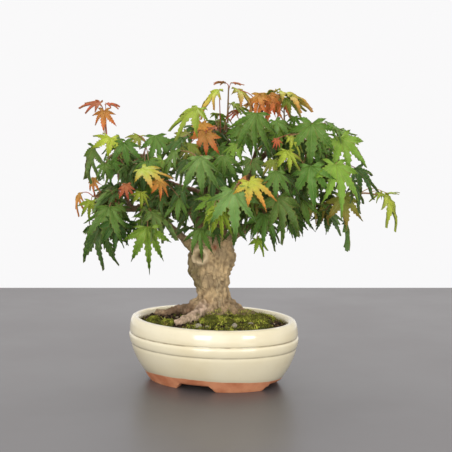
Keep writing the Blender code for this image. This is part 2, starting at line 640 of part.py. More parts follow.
def soil_top(right, toward):
    """Height of the mound under a point of the tree's frame: its oval is found in a few steps."""
    x = right * math.cos(BEST_SIDE) + toward * math.sin(BEST_SIDE)
    y = right * math.sin(BEST_SIDE) - toward * math.cos(BEST_SIDE)
    rho = OVAL_CORE
    for _ in range(12):
        rho = math.hypot(x / (1 + OVAL / max(rho, OVAL_CORE)), y)
    return soil_height(rho)


def make_stones(collection, pumice):
    for number, (right, toward, size, turn) in enumerate(STONES, 1):
        bm = bmesh.new()
        bmesh.ops.create_icosphere(bm, subdivisions=1, radius=1.0)
        spin = Matrix.Rotation(math.radians(turn), 3, "Z")
        middle = place(right, toward, soil_top(right, toward) + size * 0.72 + 1.2)
        for vert in bm.verts:
            uneven = 1 + 0.12 * math.sin(5 * vert.co.x + 3 * vert.co.y + number)
            shape = spin @ Vector((vert.co.x, vert.co.y * 0.8, vert.co.z * 0.66))
            vert.co = middle + shape * uneven * size * MM
        new_object(f"stone_{number}", mesh_from(bm, f"stone_{number}"), collection, pumice)


def main():
    clear_scene()
    collection = new_collection("bonsai maple")
    helpers = new_collection("cutters")
    glaze = new_material("cream glaze", (0.82, 0.74, 0.56), 0.18)
    make_pot(collection, helpers, glaze)
    make_screens(collection, new_material("mesh plastic", (0.03, 0.03, 0.03), 0.6),
                 new_material("wire", (0.6, 0.58, 0.55), 0.4, 1.0))
    make_soil(collection, helpers, new_material("soil", (0.06, 0.035, 0.02), 0.95))
    make_moss(collection, new_material("moss", (0.13, 0.2, 0.03), 0.9))
    make_stones(collection, new_material("pumice", (0.72, 0.66, 0.56), 0.9))
    trunk = make_trunk(collection, helpers, new_material("bark", (0.42, 0.32, 0.2), 0.8))
    make_shoots(trunk, collection, helpers, new_material("maple leaf", (0.2, 0.3, 0.06), 0.5))


main()
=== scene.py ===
import math

import bmesh
import bpy
import numpy as np
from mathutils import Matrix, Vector


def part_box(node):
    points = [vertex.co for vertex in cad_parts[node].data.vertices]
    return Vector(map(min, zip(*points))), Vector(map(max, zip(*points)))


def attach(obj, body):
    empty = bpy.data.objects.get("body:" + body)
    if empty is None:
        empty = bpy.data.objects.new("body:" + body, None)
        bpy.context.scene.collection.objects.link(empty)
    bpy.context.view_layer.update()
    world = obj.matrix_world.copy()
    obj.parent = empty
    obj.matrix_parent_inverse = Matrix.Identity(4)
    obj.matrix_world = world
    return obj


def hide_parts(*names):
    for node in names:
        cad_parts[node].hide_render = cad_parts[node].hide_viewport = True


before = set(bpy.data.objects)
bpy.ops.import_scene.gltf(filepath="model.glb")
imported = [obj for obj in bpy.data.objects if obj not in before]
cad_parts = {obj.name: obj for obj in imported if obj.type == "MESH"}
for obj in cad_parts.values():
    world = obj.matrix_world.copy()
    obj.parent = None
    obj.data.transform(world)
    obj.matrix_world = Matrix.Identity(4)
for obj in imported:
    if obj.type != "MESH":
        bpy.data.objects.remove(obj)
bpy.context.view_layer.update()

mm = 0.001
potLow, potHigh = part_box("pot")
potMiddle = ((potLow[0] + potHigh[0]) / 2, (potLow[1] + potHigh[1]) / 2)
potCentre = np.array([*potMiddle, 0])
bestSide = math.radians(22.5)     # the tree's best side is turned this far from the pot's front


def treeTurn(first, second):
    # (right, toward) of the tree to the world's (x, y), or back again: the turn undoes itself
    cos, sin = math.cos(bestSide), math.sin(bestSide)
    return first * cos + second * sin, first * sin - second * cos


def place(points):
    # millimetres (right, toward, up) about the pot's middle, turned to the world, in metres
    points = np.asarray(points, float)
    x, y = treeTurn(points[..., 0], points[..., 1])
    return np.stack([x * mm + potMiddle[0], y * mm + potMiddle[1], points[..., 2] * mm], -1)


def turned(u, v, degrees):
    turn = math.radians(degrees)
    return u * math.cos(turn) - v * math.sin(turn), u * math.sin(turn) + v * math.cos(turn)


def ringAngles(count):
    return np.linspace(0, 2 * math.pi, count, endpoint=False)


def wander(points, size, seed, waves=18):
    # smooth unevenness: a sum of sine waves in random directions, about size long, from -1 to 1
    draw = np.random.default_rng(seed)
    ways = draw.normal(size=(waves, 3))
    ways /= np.linalg.norm(ways, axis=1, keepdims=True)
    ways *= 2 * math.pi / (size * draw.uniform(0.7, 1.6, (waves, 1)))
    phase = draw.uniform(0, 2 * math.pi, waves)
    return np.sin(np.asarray(points) @ ways.T + phase).sum(-1) / math.sqrt(waves) / 1.4


def smoothStep(low, high, value):
    part = np.clip((value - low) / (high - low), 0, 1)
    return part * part * (3 - 2 * part)


def follow(stations, count):
    # a rounded route through the stations: Catmull-Rom cubics read at even steps
    known = np.asarray(stations, float)
    known = np.vstack([2 * known[0] - known[1], known, 2 * known[-1] - known[-2]])
    at = np.linspace(0, len(known) - 3 - 1e-9, count)
    i = at.astype(int)
    t = (at - i)[:, None]
    a, b, c, d = known[i], known[i + 1], known[i + 2], known[i + 3]
    bend = (2 * a - 5 * b + 4 * c - d) * t ** 2 + (3 * b - a - 3 * c + d) * t ** 3
    return 0.5 * (2 * b + (c - a) * t + bend)


def gridFaces(rows, cols, wrap=True, start=0):
    # quads between neighbouring rows; the last column meets the first when wrap is set
    i, j = np.meshgrid(np.arange(rows - 1), np.arange(cols if wrap else cols - 1), indexing="ij")
    k = (j + 1) % cols
    quads = np.stack([i * cols + j, i * cols + k, (i + 1) * cols + k, (i + 1) * cols + j], -1)
    return quads.reshape(-1, 4) + start


def closedFaces(rows, cols):
    # a wrapped grid whose first and last rows are closed by fans to the two points that follow it
    here = np.arange(cols)
    after = (here + 1) % cols
    last = (rows - 1) * cols
    first = np.stack([0 * here + rows * cols, after, here], -1)
    final = np.stack([last + here, last + after, 0 * here + rows * cols + 1], -1)
    return gridFaces(rows, cols).tolist() + first.tolist() + final.tolist()


def setTint(mesh, tints):
    # the colour attribute that the paints read; its alpha is 1 unless a fourth column is given
    if tints.shape[1] == 3:
        tints = np.hstack([tints, np.ones((len(tints), 1))])
    layer = mesh.color_attributes.new(name="tint", type="FLOAT_COLOR", domain="POINT")
    layer.data.foreach_set("color", tints.astype(np.float32).ravel())


def buildPiece(name, points, faces, paints, smooth=True, tints=None):
    mesh = bpy.data.meshes.new(name)
    mesh.from_pydata(np.asarray(points).tolist(), [], [list(face) for face in faces])
    for paint in paints:
        mesh.materials.append(paint)
    if tints is not None:
        setTint(mesh, tints)
    mesh.update()
    if smooth:
        mesh.shade_smooth()
    piece = bpy.data.objects.new(name, mesh)
    bpy.context.scene.collection.objects.link(piece)
    return piece


class Heap:
    # the parts of one piece: points, faces and tints, with each face's paint and map corners
    def __init__(self):
        self.points, self.faces, self.tints, self.paintOf, self.corners = [], [], [], [], []
        self.total = 0

    def add(self, points, faces, tints=None, paint=0, corners=()):
        self.points.append(points)
        self.faces += [[index + self.total for index in face] for face in faces]
        self.tints.append(tints)
        self.paintOf += [paint] * len(faces)
        self.corners += corners
        self.total += len(points)


def finishPiece(piece, slot, *nodes):
    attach(piece, "root")
    if nodes:
        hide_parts(*nodes)
    return piece


class Field:
    # a value that varies over a surface; arithmetic on it adds Math nodes
    def __init__(self, paint, socket):
        self.paint = paint
        self.socket = socket

    def join(self, operation, first, second):
        return self.paint.math(operation, first, second)

    def __add__(self, other):
        return self.join("ADD", self, other)

    def __sub__(self, other):
        return self.join("SUBTRACT", self, other)

    def __mul__(self, other):
        return self.join("MULTIPLY", self, other)

    def __truediv__(self, other):
        return self.join("DIVIDE", self, other)

    def __radd__(self, other):
        return self.join("ADD", other, self)

    def __rsub__(self, other):
        return self.join("SUBTRACT", other, self)

    def __rmul__(self, other):
        return self.join("MULTIPLY", other, self)


class Paint:
    # one Principled material; constants are set on the shader's own sockets
    def __init__(self, name, **constants):
        self.material = bpy.data.materials.new(name)
        self.material.use_nodes = True
        self.tree = self.material.node_tree
        self.shader = self.tree.nodes["Principled BSDF"]
        for socket, value in constants.items():
            self.shader.inputs[socket.replace("_", " ")].default_value = value

    def node(self, kind, settings=None, values=None, output=0):
        made = self.tree.nodes.new(kind)
        for key, value in (settings or {}).items():
            setattr(made, key, value)
        for key, value in (values or {}).items():
            if isinstance(value, Field):
                self.tree.links.new(value.socket, made.inputs[key])
            else:
                made.inputs[key].default_value = value
        return Field(self, made.outputs[output])

    def where(self):
        return self.node("ShaderNodeTexCoord", output="Object")

    def stretched(self, scale):
        return self.node("ShaderNodeMapping", values={"Vector": self.where(), "Scale": scale})

    def part(self, field, axis):
        return self.node("ShaderNodeSeparateXYZ", values={0: field}, output=axis)

    def noise(self, scale, detail=3.0, rough=0.5, at=None):
        spread = {"Vector": at or self.where(), "Scale": scale, "Detail": detail, "Roughness": rough}
        return self.node("ShaderNodeTexNoise", values=spread)

    def math(self, operation, first, second):
        return self.node("ShaderNodeMath", {"operation": operation}, {0: first, 1: second})

    def step(self, low, high, field):
        # 0 below low, 1 above high, smooth between
        return self.node("ShaderNodeMapRange", {"interpolation_type": "SMOOTHSTEP"},
                         {"Value": field, "From Min": low, "From Max": high})

    def mix(self, factor, first, second):
        first, second = (value if isinstance(value, Field) else (*value, 1) for value in (first, second))
        return self.node("ShaderNodeMix", {"data_type": "RGBA"}, {0: factor, 6: first, 7: second}, output=2)

    def tint(self, output="Color"):
        return self.node("ShaderNodeAttribute", {"attribute_name": "tint"}, output=output)

    def feed(self, **fields):
        for socket, field in fields.items():
            self.tree.links.new(field.socket, self.shader.inputs[socket.replace("_", " ")])

    def relief(self, height, distance, strength=1.0):
        values = {"Height": height, "Distance": distance, "Strength": strength}
        self.feed(Normal=self.node("ShaderNodeBump", values=values))


def leafPaint():
    # the map's first coordinate runs from a lobe's middle to its edge, the second from root to tip
    paint = Paint("maple leaf", Subsurface_Weight=0.12, Subsurface_Radius=(0.6, 1.0, 0.25),
                  Subsurface_Scale=0.0015, Specular_IOR_Level=0.22)
    chart = paint.node("ShaderNodeUVMap", {"uv_map": "leafMap"})
    across, along = paint.part(chart, 0), paint.part(chart, 1)
    tint = paint.tint()
    midVein = 1 - paint.step(0.03, 0.10, across)
    sideLine = paint.math("PINGPONG", along * 9.0 - across * 2.6, 0.5)
    sideVein = (1 - paint.step(0.03, 0.13, sideLine)) * (1 - paint.step(0.75, 1.0, across)) * 0.45
    vein = paint.math("MAXIMUM", midVein, sideVein)
    pale = paint.mix(0.42, tint, (0.42, 0.50, 0.18))
    dark = paint.mix(0.30, tint, (0.012, 0.030, 0.006))
    body = paint.mix(paint.step(0.30, 0.72, paint.noise(260, 3.0)) * 0.55, tint, dark)
    rim = paint.mix(paint.step(0.86, 1.0, across) * 0.35, body, (0.32, 0.13, 0.05))
    paint.feed(Base_Color=paint.mix(vein * 0.62, rim, pale), Roughness=0.40 + paint.noise(900, 2.0) * 0.22)
    paint.relief(vein * -0.6 + paint.noise(1400, 2.0) * 0.5, 0.0004, 0.6)
    return paint.material


def stalkPaint():
    paint = Paint("leaf stalk", Specular_IOR_Level=0.4)
    patch = paint.step(0.35, 0.65, paint.noise(90, 2.0))
    colour = paint.mix(patch * 0.4, paint.tint(), (0.30, 0.09, 0.05))
    paint.feed(Base_Color=colour, Roughness=0.45 + patch * 0.15)
    return paint.material


def barkPaint():
    # tint with pale patches, dark flecks, upright streaks and fine cracks; none where its alpha is 0
    paint = Paint("maple bark", Specular_IOR_Level=0.25)
    tone = paint.tint()
    patch = paint.step(0.40, 0.62, paint.noise(60, 5.0, 0.65))
    fleck = paint.step(0.52, 0.70, paint.noise(210, 5.0, 0.7))
    streak = paint.noise(150, 5.0, 0.65, at=paint.stretched((1, 1, 0.28)))
    crackLine = paint.node("ShaderNodeTexVoronoi", {"feature": "DISTANCE_TO_EDGE"},
                           {"Vector": paint.stretched((1, 1, 0.42)), "Scale": 190.0})
    crack = (1 - paint.step(0.0, 0.10, crackLine)) * patch
    colour = paint.mix(patch * 0.35, tone, (0.66, 0.50, 0.30))
    colour = paint.mix(fleck * 0.42, colour, (0.17, 0.10, 0.045))
    colour = paint.mix(paint.step(0.56, 0.74, streak) * 0.5, colour, (0.78, 0.65, 0.42))
    colour = paint.mix(crack * 0.24, colour, (0.09, 0.05, 0.025))
    colour = paint.mix(paint.tint("Alpha"), tone, colour)
    paint.feed(Base_Color=paint.mix(0.20, colour, tone), Roughness=0.72 + streak * 0.2)
    paint.relief(streak + paint.noise(520, 4.0, 0.6) * 0.6 - crack * 0.5, 0.0016, 0.95)
    return paint.material


def potPaint():
    # clear glossy cream glaze down to the glaze line; bare fired clay below it; darker lines in the grooves
    paint = Paint("cream glaze", Specular_IOR_Level=0.5, Coat_Roughness=0.04, Coat_IOR=1.5)
    spot = paint.where()
    halfLength, softEdge, runDepth = 0.085, 0.0002, 0.0016
    line = potPlan["glazeLine"] * mm
    along = (paint.part(spot, 0) - potMiddle[0]) / halfLength
    sag = along * along * potPlan["glazeDrop"] * mm
    edge = paint.part(spot, 2) + sag + (paint.noise(60, 2.0) - 0.5) * runDepth
    glazed = paint.step(line - softEdge, line + softEdge, edge)
    pooled = paint.step(line + 0.0045, line + softEdge, edge) * 0.5
    drift = paint.noise(26, 3.0)
    speck = paint.step(0.70, 0.78, paint.noise(420, 2.0))
    grooveBreak = paint.step(0.25, 0.6, paint.noise(90, 3.0))
    cream = paint.mix(paint.step(0.3, 0.7, drift), (0.82, 0.715, 0.475), (0.88, 0.79, 0.565))
    # darker along the grooves, broken up by noise
    cream = paint.mix(paint.tint() * (0.35 + grooveBreak * 0.65), cream, (0.22, 0.16, 0.085))
    cream = paint.mix(pooled, cream, (0.70, 0.62, 0.42))
    cream = paint.mix(speck * 0.25, cream, (0.58, 0.47, 0.28))
    clay = paint.mix(paint.step(0.3, 0.7, paint.noise(70, 4.0)), (0.56, 0.185, 0.080), (0.74, 0.31, 0.155))
    paint.feed(Base_Color=paint.mix(glazed, clay, cream), Roughness=0.82 - glazed * 0.66,
               Coat_Weight=glazed * 0.6)
    paint.relief(paint.noise(900, 4.0, 0.6) * (1 - glazed) + drift * 0.35 * glazed, 0.0005, 0.5)
    return paint.material


def soilPaint():
    # the tint is how mossy a spot is
    paint = Paint("dark soil", Specular_IOR_Level=0.2)
    shade = paint.step(0.3, 0.7, paint.noise(160, 5.0, 0.65))
    colour = paint.mix(shade, (0.020, 0.012, 0.007), (0.085, 0.050, 0.028))
    colour = paint.mix(paint.tint() * 0.8, colour, (0.075, 0.090, 0.014))
    paint.feed(Base_Color=colour, Roughness=0.85 + shade * 0.1)
    paint.relief(paint.noise(900, 4.0, 0.7), 0.0015)
    return paint.material


def grainPaint(name, spread):
    # loose grains and moss: each has its own colour from its tint
    paint = Paint(name, Specular_IOR_Level=0.2)
    grit = paint.step(0.3, 0.7, paint.noise(1200, 3.0))
    dark = paint.mix(0.6, paint.tint(), (0.01, 0.01, 0.004))
    paint.feed(Base_Color=paint.mix(grit * spread, paint.tint(), dark), Roughness=0.8 + grit * 0.15)
    paint.relief(grit, 0.0006)
    return paint.material


def plainPaint(name, colour, rough, metal=0.0):
    paint = Paint(name, Metallic=metal)
    grain = paint.noise(600, 3.0)
    dark = tuple(0.6 * c for c in colour)
    paint.feed(Base_Color=paint.mix(grain, colour, dark), Roughness=rough + grain * 0.15)
    paint.relief(grain, 0.0003, 0.5)
    return paint.material


# every level of the pot is an oval: rho deep and rho + oval long; heights in millimetres
potPlan = {
    "oval": 21.0, "core": 30.0, "around": 320,
    "outside": [(43.5, 0), (44.2, 1.0), (46.3, 4), (48.2, 7.5), (50.2, 10.5), (52.7, 14.3), (55.3, 18.8),
                (57.5, 23.4), (59.4, 28), (60.9, 32.5), (61.4, 35.2), (61.3, 36), (61.5, 36.6), (62.1, 37.2),
                (62.7, 38.6), (63.2, 40.8), (63.5, 43.2), (63.4, 45.0), (62.9, 46.0), (62.2, 46.4),
                (62.1, 46.9), (62.6, 47.4), (62.9, 48.6), (62.7, 52), (62.1, 56), (61.5, 58.8), (60.2, 61.1),
                (58.4, 62), (56.4, 62), (54.9, 61.6), (53.5, 60)],
    "inside": [(52.6, 57), (52.4, 50), (50.6, 34), (44.5, 20), (38, 13.4), (20, 12.6), (0, 12.5)],
    "under": [(0, 6), (20, 6), (34.3, 6), (35.4, 5.2), (35.9, 0.8), (36.4, 0)],
    "footGap": 5.8, "frontGap": (14.3, 20.3), "endGap": (14.5, 19.5), "drain": (32.0, 7.0),
    "glazeLine": 12.4, "glazeDrop": 4.6, "step": 3.0, "foot": (34.8, 50), "uneven": 0.22,
    "grooves": [(36.5, 0.55), (46.8, 1.0)], "grooveHalf": 0.45,     # level and depth of the darker groove line
}


def ovalPoints(rho, angle):
    # an oval level: its long half is rho + oval, shrinking in one ratio inside the core
    long = 1 + potPlan["oval"] / np.maximum(rho, potPlan["core"])
    return rho * long * np.cos(angle), rho * np.sin(angle)


def gapLift(offset, gap):
    # the foot ring is lifted by the whole gap up to gap[0] from the middle, and not past gap[1]
    return potPlan["footGap"] * (1 - smoothStep(*gap, offset))


def potGrid():
    # the profile at steps of at most a few millimetres, without its two points on the axis
    profile = potPlan["under"] + potPlan["outside"] + potPlan["inside"]
    fine = [profile[0]]
    for a, b in zip(profile, profile[1:]):
        cuts = max(1, int(math.dist(a, b) / potPlan["step"]))
        fine += np.linspace(a, b, cuts + 1)[1:].tolist()
    return np.array(fine[1:-1]).T[:, :, None]


def makePot():
    # a profile turned round the oval; the foot ring's underside lifts in the four gaps
    rho, up = potGrid()
    angle = ringAngles(potPlan["around"])
    x, y = ovalPoints(rho, angle)
    z = np.repeat(up, len(angle), 1)
    lift = np.maximum(gapLift(np.abs(x), potPlan["frontGap"]), gapLift(np.abs(y), potPlan["endGap"]))
    footIn, footOut = potPlan["foot"]
    isFoot = (rho > footIn) & (rho < footOut) & (z < potPlan["footGap"])
    z = np.where(isFoot, np.maximum(z, lift + 0.02 * z), z)
    grooveDark = [deep * np.exp(-((z - level) / potPlan["grooveHalf"]) ** 2) for level, deep in potPlan["grooves"]]
    grooveDark = np.append((np.maximum(*grooveDark) * (rho > 56)).ravel(), (0, 0))
    uneven = wander(np.stack([x, y, z], -1), 55, 3) * potPlan["uneven"]
    uneven = uneven * smoothStep(12, 20, z) * smoothStep(45, 50, rho)
    wall = np.stack([x + uneven * np.cos(angle), y + uneven * np.sin(angle), z], -1).reshape(-1, 3)
    points = np.vstack([wall, (0, 0, potPlan["under"][0][1]), (0, 0, potPlan["inside"][-1][1])])
    piece = buildPiece("glazedPot", points * mm + potCentre, closedFaces(len(rho), len(angle)), [potPaint()],
                       tints=np.stack([grooveDark] * 3, -1))
    for side in (-1, 1):
        drillHole(piece, side)
    piece.data.shade_smooth()
    piece.data.set_sharp_from_angle(angle=math.radians(42))
    finishPiece(piece, "glaze", "pot")
    print("pot:", len(piece.data.polygons), "faces")


def drillHole(piece, side):
    # a drain hole, cut by a boolean with a cylinder
    away, radius = (value * mm for value in potPlan["drain"])
    bm = bmesh.new()
    bmesh.ops.create_cone(bm, cap_ends=True, segments=40, radius1=radius, radius2=radius, depth=0.03)
    bmesh.ops.translate(bm, verts=bm.verts, vec=(potMiddle[0] + side * away, potMiddle[1], 0.009))
    drill = bpy.data.meshes.new("drill")
    bm.to_mesh(drill)
    bm.free()
    cutter = bpy.data.objects.new("drill", drill)
    bpy.context.scene.collection.objects.link(cutter)
    hole = piece.modifiers.new("Drain", "BOOLEAN")
    hole.operation = "DIFFERENCE"
    hole.object = cutter
    applyModifiers(piece)
    bpy.data.objects.remove(cutter, do_unlink=True)


def applyModifiers(piece):
    bpy.context.view_layer.update()
    shape = piece.evaluated_get(bpy.context.evaluated_depsgraph_get())
    mesh = bpy.data.meshes.new_from_object(shape)
    piece.modifiers.clear()
    piece.data = mesh


# lengths in millimetres; rho is the oval level that a spot lies on
soilPlan = {
    "edge": 55.0, "dome": 9.0, "wall": 52.2, "around": 220, "rings": 70,
    "below": [(51.8, 50), (49.5, 32), (43.0, 20.5), (36.0, 19.0), (1.0, 18.8)],     # rho and height
    "grains": 1900, "grainSize": (0.6, 1.9), "seed": 5, "grainShares": (0.42, 0.36, 0.17, 0.05),
    "grainTones": [(0.030, 0.018, 0.010), (0.075, 0.042, 0.022), (0.16, 0.09, 0.045), (0.42, 0.33, 0.22)],
}


def soilHeight(rho):
    return soilPlan["edge"] + soilPlan["dome"] * np.maximum(0, 1 - (rho / 52.5) ** 2) ** 0.8


def soilUnder(right, toward):
    # height of the mound below a point of the tree's frame: its oval is found in a few steps
    x, y = treeTurn(right, toward)
    rho = np.full(np.shape(x), potPlan["core"])
    for _ in range(12):
        rho = np.hypot(x / (1 + potPlan["oval"] / np.maximum(rho, potPlan["core"])), y)
    return soilHeight(rho)


def makeSoil():
    # the mound on a polar grid, uneven in two sizes, closed by the flat underside
    rings, below = soilPlan["rings"], np.array(soilPlan["below"])
    rho = np.append(np.linspace(0.8, soilPlan["wall"], rings), below[:, 0])[:, None]
    up = np.append(soilHeight(rho[:rings, 0]), below[:, 1])[:, None]
    x, y = ovalPoints(rho, ringAngles(soilPlan["around"]))
    top = (np.arange(len(rho)) < rings)[:, None]
    z = np.repeat(up, soilPlan["around"], 1)
    flat = np.stack([x, y, z], -1)
    rough = wander(flat, 9, 21) * 0.7 + wander(flat, 2.6, 22) * 0.5 + carpet(x, y) * 1.3
    z = z + top * smoothStep(52.4, 48, rho) * rough
    mossy = np.append((carpet(x, y) * top).ravel(), (0, 0))
    points = np.stack([x, y, z], -1).reshape(-1, 3)
    points = np.vstack([points, (0, 0, z[0].mean()), (0, 0, below[-1, 1])])
    faces = [face[::-1] for face in closedFaces(len(rho), soilPlan["around"])]
    piece = buildPiece("soilMound", points * mm + potCentre, faces, [soilPaint()],
                       tints=np.stack([mossy] * 3, -1))
    finishPiece(piece, "soil", "soil")
    scatterGrains()
    print("soil:", len(faces), "faces")


def carpet(x, y):
    # where moss covers the soil, from 0 to 1: in front and to the right of the trunk, broken by noise
    right, toward = treeTurn(x, y)
    cover = 0.14 + 0.54 * smoothStep(-32, 6, right) + 0.20 * smoothStep(-20, 15, toward)
    cover = cover - 0.5 * smoothStep(44, 62, right) - 0.6 * smoothStep(-8, -30, toward)
    flat = np.stack([x, y, 0 * x], -1)
    return smoothStep(0.38, 0.66, cover + wander(flat, 15, 61) * 0.5 + wander(flat, 6, 62) * 0.35)


def icoBall(levels):
    bm = bmesh.new()
    bmesh.ops.create_icosphere(bm, subdivisions=levels, radius=1.0)
    points = np.array([vert.co for vert in bm.verts])
    faces = np.array([[vert.index for vert in face.verts] for face in bm.faces])
    bm.free()
    return points, faces


def scatterGrains():
    # small faceted grains of bark, clay and grit, dropped on the mound by a seeded draw
    draw = np.random.default_rng(soilPlan["seed"])
    shape, faces = icoBall(1)
    count = soilPlan["grains"]
    spin = draw.uniform(0, 2 * math.pi, count)
    rho = 51 * np.sqrt(draw.uniform(0.02, 1, count))
    x, y = ovalPoints(rho, spin)
    size = draw.uniform(*soilPlan["grainSize"], count) * np.where(draw.uniform(size=count) < 0.06, 1.35, 1)
    bumps = 1 + 0.25 * draw.normal(size=(count, len(shape), 1)).clip(-1.3, 1.3)
    body = shape[None] * bumps * (size[:, None, None] * draw.uniform(0.5, 1.0, (count, 1, 3)))
    body += np.stack([x, y, soilHeight(rho) + size * 0.25], -1)[:, None]
    kind = draw.choice(4, count, p=soilPlan["grainShares"])
    tint = np.array(soilPlan["grainTones"])[kind] * draw.uniform(0.7, 1.3, (count, 1))
    allFaces = (faces[None] + np.arange(count)[:, None, None] * len(shape)).reshape(-1, 3)
    piece = buildPiece("soilGrains", body.reshape(-1, 3) * mm + potCentre, allFaces,
                       [grainPaint("soil grain", 0.35)], smooth=False, tints=np.repeat(tint, len(shape), 0))
    finishPiece(piece, "soil")


# cushions: right, toward, half length, half width, height and turn; colours are linear
mossPlan = {
    "cushions": [(3, 24, 17, 10.5, 5.5, 5), (39, 17, 14, 9.5, 5, -20), (52, -3, 10, 9, 4, 30),
                 (-44, 20, 10, 7, 4, 15), (-58, 2, 9, 7, 3.5, 80), (-34, -30, 15, 8, 4.5, -10),
                 (35, -29, 11, 7, 4, 12)],
    "fronds": 1700, "seed": 8, "carpetFronds": 15000, "baseFronds": 2600, "sprigs": 70,
    "shares": (0.25, 0.38, 0.25, 0.12), "dry": (0.17, 0.105, 0.04),
    "colours": [(0.140, 0.160, 0.022), (0.32, 0.35, 0.040), (0.60, 0.62, 0.09), (0.34, 0.23, 0.09)],
}
# stones: right, toward, size and turn
stonePlan = [(-13, 37, 3.6, 20), (20, 38, 3.2, 70), (36, 33, 2.6, -15), (-5, 38.5, 2.2, 50)]


def makeFronds(foot, tall, thick, draw):
    # upright slivers: a small triangle round each foot drawn up to a leaning tip
    count = len(foot)
    lean = np.stack([draw.normal(0, 0.5, count), draw.normal(0, 0.5, count), np.ones(count)], -1)
    ring = np.array([(1, 0, 0), (-0.5, 0.87, 0), (-0.5, -0.87, 0)])
    corners = foot[:, None] + ring * draw.uniform(*thick, count)[:, None, None]
    tip = (foot + lean * draw.uniform(*tall, count)[:, None])[:, None]
    sliver = np.array([(3, 1, 0), (3, 2, 1), (3, 0, 2), (0, 1, 2)])
    faces = (sliver + np.arange(count)[:, None, None] * 4).reshape(-1, 3)
    kind = draw.choice(4, count, p=mossPlan["shares"])
    tint = np.array(mossPlan["colours"])[kind] * draw.uniform(0.7, 1.2, (count, 1))
    patch = np.exp(0.10 + 0.75 * wander(foot, 11, 64) + 0.75 * wander(foot, 4, 65)).clip(0, 2.2)
    tint = blend(tint * patch[:, None], smoothStep(0.25, 0.8, wander(foot, 8, 66)) * 0.6, mossPlan["dry"])
    return np.concatenate([corners, tip], 1).reshape(-1, 3), faces, np.repeat(tint, 4, 0)


def makeCarpet(trunkSpots):
    # moss between the cushions and up the foot of the trunk, with a few taller seedling sprigs
    draw = np.random.default_rng(mossPlan["seed"])
    spin = draw.uniform(0, 2 * math.pi, mossPlan["carpetFronds"] * 2)
    rho = 51.5 * np.sqrt(draw.uniform(0, 1, len(spin)))
    x, y = ovalPoints(rho, spin)
    kept = draw.uniform(size=len(spin)) < carpet(x, y) * 0.6
    level = soilHeight(rho) + 1.1 + wander(np.stack([x, y, 0 * x], -1), 5, 63) * 1.3
    ground = np.stack([x, y, level], -1)[kept] + potCentre / mm
    climb = trunkSpots[draw.integers(len(trunkSpots), size=mossPlan["baseFronds"])]
    climb = climb + draw.normal(0, 0.3, (1, 3))
    sprigs = ground[draw.integers(len(ground), size=mossPlan["sprigs"])]
    sprigs = np.repeat(sprigs, 7, 0) + draw.normal(0, 0.55, (7 * len(sprigs), 3)) * (1, 1, 0.2)
    heap = Heap()
    heap.add(*makeFronds(ground, (0.6, 1.7), (0.18, 0.42), draw))
    heap.add(*makeFronds(climb, (0.6, 1.4), (0.15, 0.3), draw))
    heap.add(*makeFronds(sprigs, (2.5, 5.0), (0.25, 0.5), draw))
    piece = buildPiece("mossCarpet", np.vstack(heap.points) * mm, heap.faces,
                       [grainPaint("moss carpet", 0.45)], smooth=False, tints=np.vstack(heap.tints))
    turnOutwards(piece)
    finishPiece(piece, "moss")
    print("moss carpet:", heap.total // 4, "fronds")


def cushionSpot(cushion, out, angle):
    # a spot of a cushion's oval in the tree's frame; out is 0 at its middle and 1 at its edge
    right, toward, long, wide, _, turn = cushion
    u, v = turned(out * np.cos(angle) * long, out * np.sin(angle) * wide, turn)
    return right + u, toward + v


def makeMoss():
    # each cushion is a low lumpy dome under upright fronds
    paint = grainPaint("moss", 0.5)
    around, rings = 60, 16
    angle = ringAngles(around)
    reach = np.linspace(0.03, 1, rings)[:, None]
    for number, cushion in enumerate(mossPlan["cushions"], 1):
        long, wide, high = cushion[2:5]
        draw = np.random.default_rng(mossPlan["seed"] + number)
        edge = 1 + 0.10 * np.sin(3 * angle + number) + 0.07 * np.sin(5 * angle - 2 * number)
        r, t = cushionSpot(cushion, reach * edge * 0.96, angle)
        ground = soilUnder(r, t)
        dome = high * 0.75 * np.sqrt(np.maximum(0, 1 - reach ** 2))
        flat = np.stack([r, t, ground], -1)
        top = ground + dome * (1 + 0.40 * wander(flat, 7, 31)) + 0.45 * wander(flat, 2.2, 32) * (dome > 0.3)
        skin = np.stack([r, t, np.maximum(top, ground + 0.3)], -1).reshape(-1, 3)
        sunk = np.stack([r[-1], t[-1], ground[-1] - 0.8], -1)
        crown, base = (*cushion[:2], top[0].mean()), (*cushion[:2], ground[0].mean() - 0.8)
        points = np.vstack([skin, sunk, crown, base])
        count = int(mossPlan["fronds"] * long * wide / 180)
        spin = draw.uniform(0, 2 * math.pi, count)
        out = np.sqrt(draw.uniform(0, 1, count))
        r, t = cushionSpot(cushion, out * 0.97, spin)
        foot = np.stack([r, t, soilUnder(r, t) + high * 0.70 * np.sqrt(1 - out ** 2)], -1)
        fronds = makeFronds(foot, (0.9, 2.3), (0.16, 0.34), draw)
        heap = Heap()
        heap.add(points, [face[::-1] for face in closedFaces(rings + 1, around)],
                 np.array(mossPlan["colours"][0]) * (0.7 + 0.3 * draw.uniform(size=(len(points), 1))))
        heap.add(*fronds)
        piece = buildPiece(f"mossCushion{number}", place(np.vstack(heap.points)), heap.faces, [paint],
                           smooth=False, tints=np.vstack(heap.tints))
        turnOutwards(piece)
        finishPiece(piece, "moss", f"moss_{number}")
    print("moss:", len(mossPlan["cushions"]), "cushions")


def turnOutwards(piece):
    # the tree's frame is mirrored in the world, so closed bodies are turned to face out
    bm = bmesh.new()
    bm.from_mesh(piece.data)
    bm.normal_update()
    bmesh.ops.recalc_face_normals(bm, faces=bm.faces)
    bm.to_mesh(piece.data)
    bm.free()


